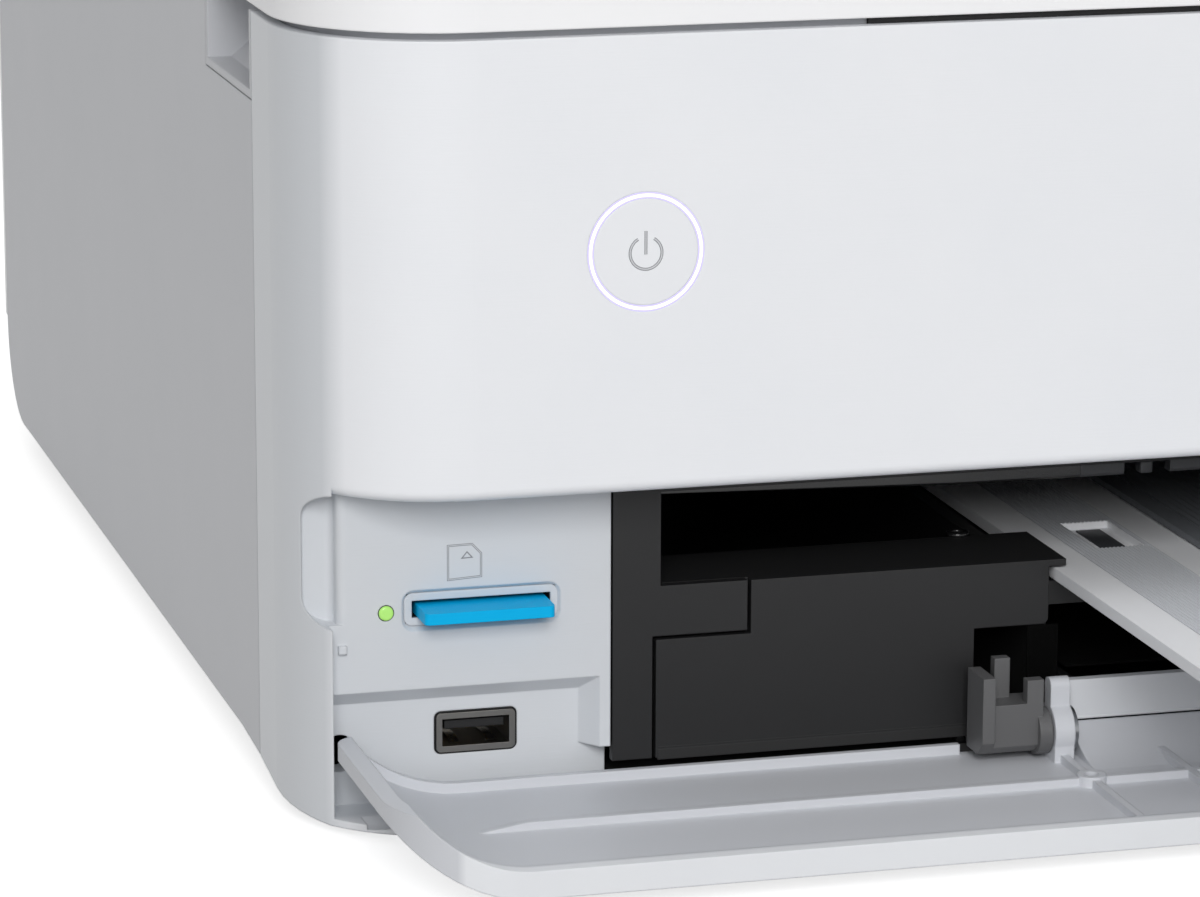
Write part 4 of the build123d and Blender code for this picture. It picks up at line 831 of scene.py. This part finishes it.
@dataclass
class MouthHeader:
    """Grey beam that closes the mouth's upper edge, with a gloss black wedge at its left end.

    Attributes:
        span: Front and rear of the beam.
        height: Its lower and upper side.
        chamfer: Depth and height of the chamfer along its lower front edge.
        wedge: X of the wedge's pointed end, and of its end at the beam.
        beams: Left and right end of each length of beam.
        post: X of the two sides of the short grey post between them.
    """

    span: tuple[float, float] = (15.4, 18.2)
    height: tuple[float, float] = (56.5, 58.9)
    chamfer: tuple[float, float] = (0.4, 0.5)
    wedge: tuple[float, float] = (-195.0, -112.5)
    beams: tuple[tuple[str, float, float], ...] = (
        ("mouth_beam_left", -112.5, -103.9), ("mouth_beam", -94.8, 112.5),
    )
    post: tuple[float, float] = (-100.7, -98.2)

    def build(self) -> None:
        """Makes the wedge, the beam and its post.

        The wedge's height grows along X: share = least + (1 - least) x distance from its
        point / run, up to 1.
        """
        front, rear = self.span
        low, high = self.height
        back, up = self.chamfer
        profile = np.array(
            [[front, high], [front, low + up], [front + back, low], [rear, low], [rear, high]]
        )
        x = np.linspace(*self.wedge, 25)
        least, run = 0.25, 60.0
        share = np.clip(least + (1 - least) * (x - x[0]) / run, least, 1.0)
        wedge = upright_bar("mouth_wedge", profile, x, share)
        mount(wedge, GLOSS_BLACK)
        for name, left, right in self.beams:
            beam = upright_bar(name, profile, np.array([left, right]))
            mount(beam, GREY_BEAM)
        post = rounded_block("mouth_post", self.post, self.span, self.height, 0.4)
        mount(post, GREY_BEAM)


@dataclass
class TrayRibs:
    """Fine ribs along the tray and its extension, and a dark floor that paints the shade in each of
    the two recesses.

    Attributes:
        pitch: Distance between ribs. The real one is 0.4, drawn at 0.8 so that it shows.
        rise: Height of a rib.
        side_span: Outer and inner X of the ribbed strip on each side of the tray.
        reach: Front and rear end of the ribs.
        bed: Height of the tray's bed.
        recess: Outer and inner X, front and rear of a recess.
        floor_inset: How far a recess's floor stays inside those four.
        floor_drop: Lower and upper side of that floor, below the bed.
        stage: Height of the extension's upper side.
        stage_half: Half width of its ribbed field.
        stage_reach: Front and rear end of that field.
        stage_pitch: Distance between its ribs, coarser than the real one as well.
        stage_rise: Height of its ribs.
    """

    pitch: float = 0.8
    rise: float = 0.18
    side_span: tuple[float, float] = (108.6, 93.0)
    reach: tuple[float, float] = (-57.0, 165.0)
    bed: float = 39.25
    recess: tuple[float, float, float, float] = (104.1, 94.3, 27.9, 47.7)
    floor_inset: tuple[float, float, float, float] = (2.6, 2.2, 4.0, 1.6)
    floor_drop: tuple[float, float] = (1.4, 1.05)
    stage: float = 39.7
    stage_half: float = 80.0
    stage_reach: tuple[float, float] = (-60.0, 145.0)
    stage_pitch: float = 1.6
    stage_rise: float = 0.2

    def build(self) -> None:
        """Makes the strips before, beside and behind each recess, and the field in the middle."""
        outer, inner = self.side_span
        near, far, front, rear = self.recess
        start, end = self.reach
        fields = (
            ("front", (outer, inner), (start, front)), ("rear", (outer, inner), (rear, end)),
            ("outer", (outer, near), (front, rear)), ("inner", (far, inner), (front, rear)),
        )
        near_in, far_in, front_in, rear_in = self.floor_inset
        level = (self.bed - self.floor_drop[0], self.bed - self.floor_drop[1])
        for side, word in ((-1, "left"), (1, "right")):
            for where, (a, b), span in fields:
                ribs = corrugation(
                    f"tray_ribs_{word}_{where}", tuple(sorted((side * a, side * b))), span,
                    self.bed, self.bed + self.rise, self.pitch,
                )
                mount(ribs, TRAY_RIBS, "output_tray")
            # Dark floor in the recess: painted shade of the hole.
            slot = rounded_block(
                f"tray_recess_shade_{word}",
                tuple(sorted((side * (near - near_in), side * (far + far_in)))),
                (front + front_in, rear - rear_in), level, 0.15, steps=3,
            )
            mount(slot, SLATE_ACETAL, "output_tray")
        ribs = corrugation(
            "extension_ribs", (-self.stage_half, self.stage_half), self.stage_reach, self.stage,
            self.stage + self.stage_rise, self.stage_pitch,
        )
        mount(ribs, GREY_STAGE, "tray_extension")


@dataclass
class PlateEdges:
    """Sill strip at the foot of the black plate and a small boss on its top.

    Attributes:
        span: Left and right end of the strip. It stops short of the shut cover's upright wall.
        height: Its lower and upper edge.
        face: Depth of its face.
        thickness: Its thickness.
        boss: X, depth and height of the boss.
        boss_radii: Radii of the boss's profile.
        boss_levels: Heights of that profile over the boss's own.
    """

    span: tuple[float, float] = (-193.6, -121.7)
    height: tuple[float, float] = (8.4, 10.9)
    face: float = 15.17
    thickness: float = 0.6
    boss: tuple[float, float, float] = (-128.6, 37.4, 41.2)
    boss_radii: tuple[float, ...] = (2.15, 2.15, 1.9, 1.35, 1.15, 1.15)
    boss_levels: tuple[float, ...] = (-0.2, 0.55, 0.8, 0.8, 0.6, -0.2)

    def build(self) -> None:
        """Makes the strip, with a groove under its upper lip, and the boss.

        The boss is a profile of radius and height turned round its axis: x = middle +
        radius x cosine, depth = middle + radius x sine.
        """
        low, high = self.height
        groove = 0.12
        front, floor, rear = self.face, self.face + groove, self.face + self.thickness
        edges = [high - drop for drop in (0.5, 0.45, 0.25, 0.2)]
        profile = np.array(
            [
                [front, low], [front, edges[0]], [floor, edges[1]], [floor, edges[2]],
                [front, edges[3]], [front, high], [rear, high], [rear, low],
            ]
        )
        strip = upright_bar("plate_sill", profile, np.array(self.span))
        mount(strip, BLACK_DEEP)
        turn = np.linspace(0, 2 * math.pi, 33)[:-1, None]
        radius = np.array(self.boss_radii)
        x, d, z = self.boss
        level = z + np.array(self.boss_levels)[None, :]
        points = place(x + radius * np.cos(turn), d + radius * np.sin(turn), level)
        boss = lattice("plate_boss", points, close_u=True)
        mount(boss, GLOSS_BLACK)


@dataclass
class BayShadeAndLip:
    """Near-black sheet between the cassettes and pad beside the left bracket, which paint the bay's
    shade, and the cassette's lip.

    Attributes:
        sheet: Half width, front and rear end of the sheet.
        sheet_height: Its lower and upper side.
        pad: X of the pad's two sides.
        pad_depth: Its front and rear.
        pad_height: Its lower and upper edge.
        lip_half: Half width of the lip under the cassette's front wall.
        lip_depth: Front and rear of that lip.
        lip_height: Its lower and upper side.
    """

    sheet: tuple[float, float, float] = (114.5, 15.6, 110.0)
    sheet_height: tuple[float, float] = (20.1, 20.6)
    pad: tuple[float, float] = (-122.4, -116.3)
    pad_depth: tuple[float, float] = (14.95, 15.4)
    pad_height: tuple[float, float] = (15.5, 28.9)
    lip_half: float = 115.0
    lip_depth: tuple[float, float] = (11.1, 13.0)
    lip_height: tuple[float, float] = (11.26, 11.9)

    def build(self) -> None:
        """Makes the sheet, the pad and the lip."""
        half, front, rear = self.sheet
        # Sheet and pad are painted shade: near-black where the bay lies in shadow.
        sheet = rounded_block(
            "bay_shade_sheet", (-half, half), (front, rear), self.sheet_height, 0.2, steps=3
        )
        mount(sheet, BAY_SHADE_BLACK)
        pad = rounded_block("bay_shade_pad", self.pad, self.pad_depth, self.pad_height, 0.15, steps=3)
        mount(pad, BAY_SHADE_BLACK)
        width = (-self.lip_half, self.lip_half)
        lip = rounded_block("cassette_lip", width, self.lip_depth, self.lip_height, 0.2, steps=3)
        mount(lip, CASSETTE, "lower_cassette")


@dataclass
class PortContacts:
    """Leaf springs and contacts inside the host port.

    Attributes:
        middle: X of the port's middle.
        inside: Lower and upper inner face of the shell.
        spring_ends: Front and rear end of the springs.
        spring_offsets: X of each spring's middle from the port's.
        bow: How far the middle of a spring stands out.
        contact_ends: Front and rear end of the contacts.
        contact_offsets: X of each contact's middle from the port's.
        contact_height: Their lower and upper side.
    """

    middle: float = -226.9
    inside: tuple[float, float] = (12.3, 18.6)
    spring_ends: tuple[float, float] = (20.2, 32.0)
    spring_offsets: tuple[float, float] = (-3.4, 3.4)
    bow: float = 0.9
    contact_ends: tuple[float, float] = (20.6, 30.0)
    contact_offsets: tuple[float, ...] = (-3.3, -1.1, 1.1, 3.3)
    contact_height: tuple[float, float] = (15.61, 15.86)

    def build(self) -> None:
        """Makes four springs and four contacts.

        A spring bows inwards along its length: rise = bow x sine of pi x share of the length
        to the power 0.8, so its crest lies a little to the front.
        """
        along = np.linspace(0, 1, 15)
        front, rear = self.spring_ends
        d = front + along * (rear - front)
        rise = self.bow * np.sin(math.pi * along**0.8)
        half, thickness, sunk = 0.9, 0.2, 0.05
        layer = np.array([0.0, 0.0, thickness, thickness]) - sunk
        for row, (level, inward) in enumerate(zip(self.inside, (1, -1)), start=1):
            z = level + inward * (rise[:, None] + layer)
            for column, offset in enumerate(self.spring_offsets, start=1):
                across = np.array([-half, half, half, -half]) + self.middle + offset
                points = place(across[None, :], d[:, None], z)
                spring = lattice(f"port_spring_{row}_{column}", points, smooth=False)
                mount(spring, SPRING_STEEL)
        half = 0.5
        for number, offset in enumerate(self.contact_offsets, start=1):
            x = self.middle + offset
            contact = rounded_block(
                f"port_contact_{number}", (x - half, x + half), self.contact_ends,
                self.contact_height, 0.1, steps=3,
            )
            mount(contact, GOLD_CONTACT)


@dataclass
class ScannerGapShade:
    """Dark strip that paints the shade in the gap under the scanner's middle.

    Attributes:
        half_width: Half width of the strip.
        span: Its front and rear.
        height: Its lower and upper side.
    """

    half_width: float = 159.5
    span: tuple[float, float] = (2.4, 6.0)
    height: tuple[float, float] = (144.3, 145.7)

    def build(self) -> None:
        """Makes the strip."""
        width = (-self.half_width, self.half_width)
        # A near-black strip: painted shade where the gap lies in shadow.
        strip = rounded_block("scanner_gap_shade", width, self.span, self.height, 0.2, steps=3)
        mount(strip, BLACK_DEEP)


@dataclass
class PanelSigns:
    """Plain outlines of the touch keys beside the display.

    Attributes:
        column: Distance of each column of keys from the middle.
        rows: Heights of the keys.
        line: Width of the printed line.
    """

    column: float = 64.0
    rows: tuple[float, float, float] = (88.0, 105.0, 122.0)
    line: float = 0.5

    def build(self) -> None:
        """Makes a house, an open arrow and a ring on the left and three more on the right."""
        house = np.array([[-3, -2.6], [3, -2.6], [3, 0.6], [0, 3.2], [-3, 0.6]])
        back = np.array([[2.6, 2.8], [-2.4, 0.0], [2.6, -2.8]])
        ahead = back * np.array([-1, 1])
        ring = circle_path((0.0, 0.0), 2.8, 36)
        square = np.array([[-2.3, -2.3], [2.3, -2.3], [2.3, 2.3], [-2.3, 2.3]])
        keys = (
            ("home", -1, 2, house, True), ("back", -1, 1, back, False), ("help", -1, 0, ring, True),
            ("start", 1, 1, ahead, True), ("stop", 1, 0, square, True), ("copy", 1, 2, ring, True),
        )
        for word, side, row, path, closed in keys:
            middle = np.array([side * self.column, self.rows[row]])
            sign = raised_line(f"key_{word}", path + middle, self.line, -PRINT_MM, closed)
            mount(sign, PRINTED_WHITE, "control_panel")


@dataclass
class InkStock:
    """Ink that shows in the tanks' window, and the coloured ring on each cap.

    Attributes:
        first: X of the first tank's middle.
        pitch: Distance between tanks.
        half_width: Half width of an ink column.
        depth: Front and rear of a column.
        foot: Lowest height that shows.
        levels: Height of each tank's ink.
        cap: Depth and height of the middle of each cap's ring.
        ring: Radius of a ring and of its round section.
    """

    first: float = 159.0
    pitch: float = 14.0
    half_width: float = 6.0
    depth: tuple[float, float] = (3.4, 5.2)
    foot: float = 13.0
    levels: tuple[float, ...] = (49.5, 46.0, 47.5, 44.0, 48.0, 45.0)
    cap: tuple[float, float] = (49.0, 125.2)
    ring: tuple[float, float] = (4.0, 0.45)

    def build(self) -> None:
        """Makes a column of ink in front of each tank, and a ring on each cap.

        A ring is a bead carried round the cap's middle: x = middle + (ring radius + bead
        radius x cosine of v) x cosine of u, depth likewise with the sine of u, and height =
        middle + bead radius x sine of v.
        """
        u = np.linspace(0, 2 * math.pi, 41)[:-1, None]
        v = np.linspace(0, 2 * math.pi, 9)[None, :-1]
        radius, bead = self.ring
        away = radius + bead * np.cos(v)
        half = self.half_width
        d, z = self.cap
        for number, (level, ink) in enumerate(zip(self.levels, INKS), start=1):
            x = self.first + self.pitch * (number - 1)
            column = rounded_block(
                f"ink_column_{number}", (x - half, x + half), self.depth, (self.foot, level), 0.4
            )
            mount(column, ink)
            points = place(x + away * np.cos(u), d + away * np.sin(u), z + bead * np.sin(v))
            ring = lattice(f"cap_ring_{number}", points, close_u=True)
            mount(ring, ink, f"ink_cap_{number}")


@dataclass
class Studio:
    """Floor, lamps and the camera that sees the printer as the photograph does.

    Attributes:
        eye: Camera's place.
        turn_deg: Camera's rotation about X, Y and Z.
        lens_mm: Focal length, on a sensor 36 mm wide.
        floor_size: Side of the square floor.
        floor_lift: Light that the floor adds where it is seen, so that it reaches white.
        sky: Strength of the sky that lights the scene, and of the sky that is seen.
        target: Point that the lamps face.
        lamps: Name, place, width and height, and watts of each lamp.
    """

    eye: tuple[float, float, float] = (-0.43827, -0.99029, 0.27415)
    turn_deg: tuple[float, float, float] = (76.7933, -0.1517, -15.3475)
    lens_mm: float = 151.1
    floor_size: float = 12.0
    floor_lift: float = 0.7
    sky: tuple[float, float] = (0.38, 1.0)
    target: tuple[float, float, float] = (0.0, 0.0, 0.08)
    lamps: tuple[tuple[str, tuple[float, float, float], tuple[float, float], float], ...] = (
        ("lamp_front", (-0.75, -2.7, 1.4), (1.3, 1.2), 49.0),
        ("lamp_top", (0.5, -0.5, 2.2), (2.0, 1.6), 2.5),
        ("lamp_back", (0.5, 2.6, 1.3), (1.6, 1.4), 13.0),
    )

    def build(self) -> None:
        """Makes the floor, the world, the lamps and the camera."""
        self._floor()
        self._world()
        for name, spot, size, watts in self.lamps:
            light = bpy.data.lights.new(name, "AREA")
            light.shape = "RECTANGLE"
            light.size, light.size_y = size
            light.energy = watts
            lamp = bpy.data.objects.new(name, light)
            lamp.location = spot
            aim = Vector(self.target) - Vector(spot)
            lamp.rotation_euler = aim.to_track_quat("-Z", "Y").to_euler()
            bpy.context.collection.objects.link(lamp)
        data = bpy.data.cameras.new("camera")
        data.lens = self.lens_mm
        data.sensor_width = 36.0
        camera = bpy.data.objects.new("camera", data)
        camera.location = self.eye
        camera.rotation_euler = Euler([math.radians(a) for a in self.turn_deg], "XYZ")
        bpy.context.collection.objects.link(camera)
        bpy.context.scene.camera = camera

    def _floor(self) -> None:
        """Makes a square plane under the feet, white where it is seen, that takes the shadow."""
        half = self.floor_size / 2
        points = np.array([[-half, -half, 0], [half, -half, 0], [half, half, 0], [-half, half, 0]])
        floor = add_object("floor", points, [[0, 1, 2, 3]])
        material = bpy.data.materials.new("floor_white_paper")
        material.use_nodes = True
        tree = material.node_tree
        tree.nodes.clear()
        # Matt paper, duller for the light that it throws back up on the printer
        dull = add_node(tree, "ShaderNodeBsdfDiffuse", {"Color": linear("#BCBCBC")})
        paper = add_node(tree, "ShaderNodeBsdfDiffuse", {"Color": linear("#D8D8D8")})
        lift = add_node(
            tree, "ShaderNodeEmission", {"Color": linear("#FFFFFF"), "Strength": self.floor_lift},
        )
        bright = add_node(
            tree, "ShaderNodeAddShader", links={0: paper.outputs[0], 1: lift.outputs[0]}
        )
        self._finish(tree, "ShaderNodeOutputMaterial", dull, bright)
        floor.data.materials.append(material)

    def _finish(
        self, tree: bpy.types.NodeTree, output: str, lit: bpy.types.Node, shown: bpy.types.Node
    ) -> None:
        """Ends a tree in one look for the camera, mirrors and clear glass, and one for the rest.

        Their share is the largest of three signals that are 1 or 0.

        Args:
            tree: Node tree that gets the nodes.
            output: Kind of its output node.
            lit: Shader that all other rays meet.
            shown: Shader that is seen.
        """
        path = add_node(tree, "ShaderNodeLightPath")
        seen = path.outputs["Is Camera Ray"]
        for word in ("Is Glossy Ray", "Is Transmission Ray"):
            seen = add_node(
                tree, "ShaderNodeMath", links={0: seen, 1: path.outputs[word]},
                operation="MAXIMUM",
            ).outputs[0]
        mix = add_node(
            tree, "ShaderNodeMixShader", links={0: seen, 1: lit.outputs[0], 2: shown.outputs[0]},
        )
        add_node(tree, output, links={0: mix.outputs[0]})

    def _world(self) -> None:
        """Makes an even pale sky that the camera, mirrors and glass see as white."""
        world = bpy.data.worlds.new("world")
        bpy.context.scene.world = world
        world.use_nodes = True
        tree = world.node_tree
        tree.nodes.clear()
        lit, seen = (
            add_node(tree, "ShaderNodeBackground", {"Color": linear("#FFFFFF"), "Strength": power})
            for power in self.sky
        )
        self._finish(tree, "ShaderNodeOutputWorld", lit, seen)


def dress_frame(frame: dict[str, Any]) -> None:
    """Gives each CAD node its finish.
    """
    for finish, names in NODE_FINISHES.items():
        for name in names:
            dress(frame["nodes"][name], finish)
    bare = set(frame["nodes"]) - {n for names in NODE_FINISHES.values() for n in names}
    LOG.info("nodes with no finish: %s", sorted(bare))


def main() -> None:
    """Loads the frame, dresses it, adds the pieces and lights the scene."""
    logging.basicConfig(level=logging.INFO)
    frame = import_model()
    bpy.context.scene.view_settings.view_transform = "Standard"
    dress_frame(frame)
    for assembly in (
        PowerMark(), CardSign(), MouthHeader(), TrayRibs(), PlateEdges(), BayShadeAndLip(),
        PortContacts(), ScannerGapShade(), PanelSigns(), InkStock(),
    ):
        assembly.build()
    Studio().build()


if __name__ == "__main__":
    main()
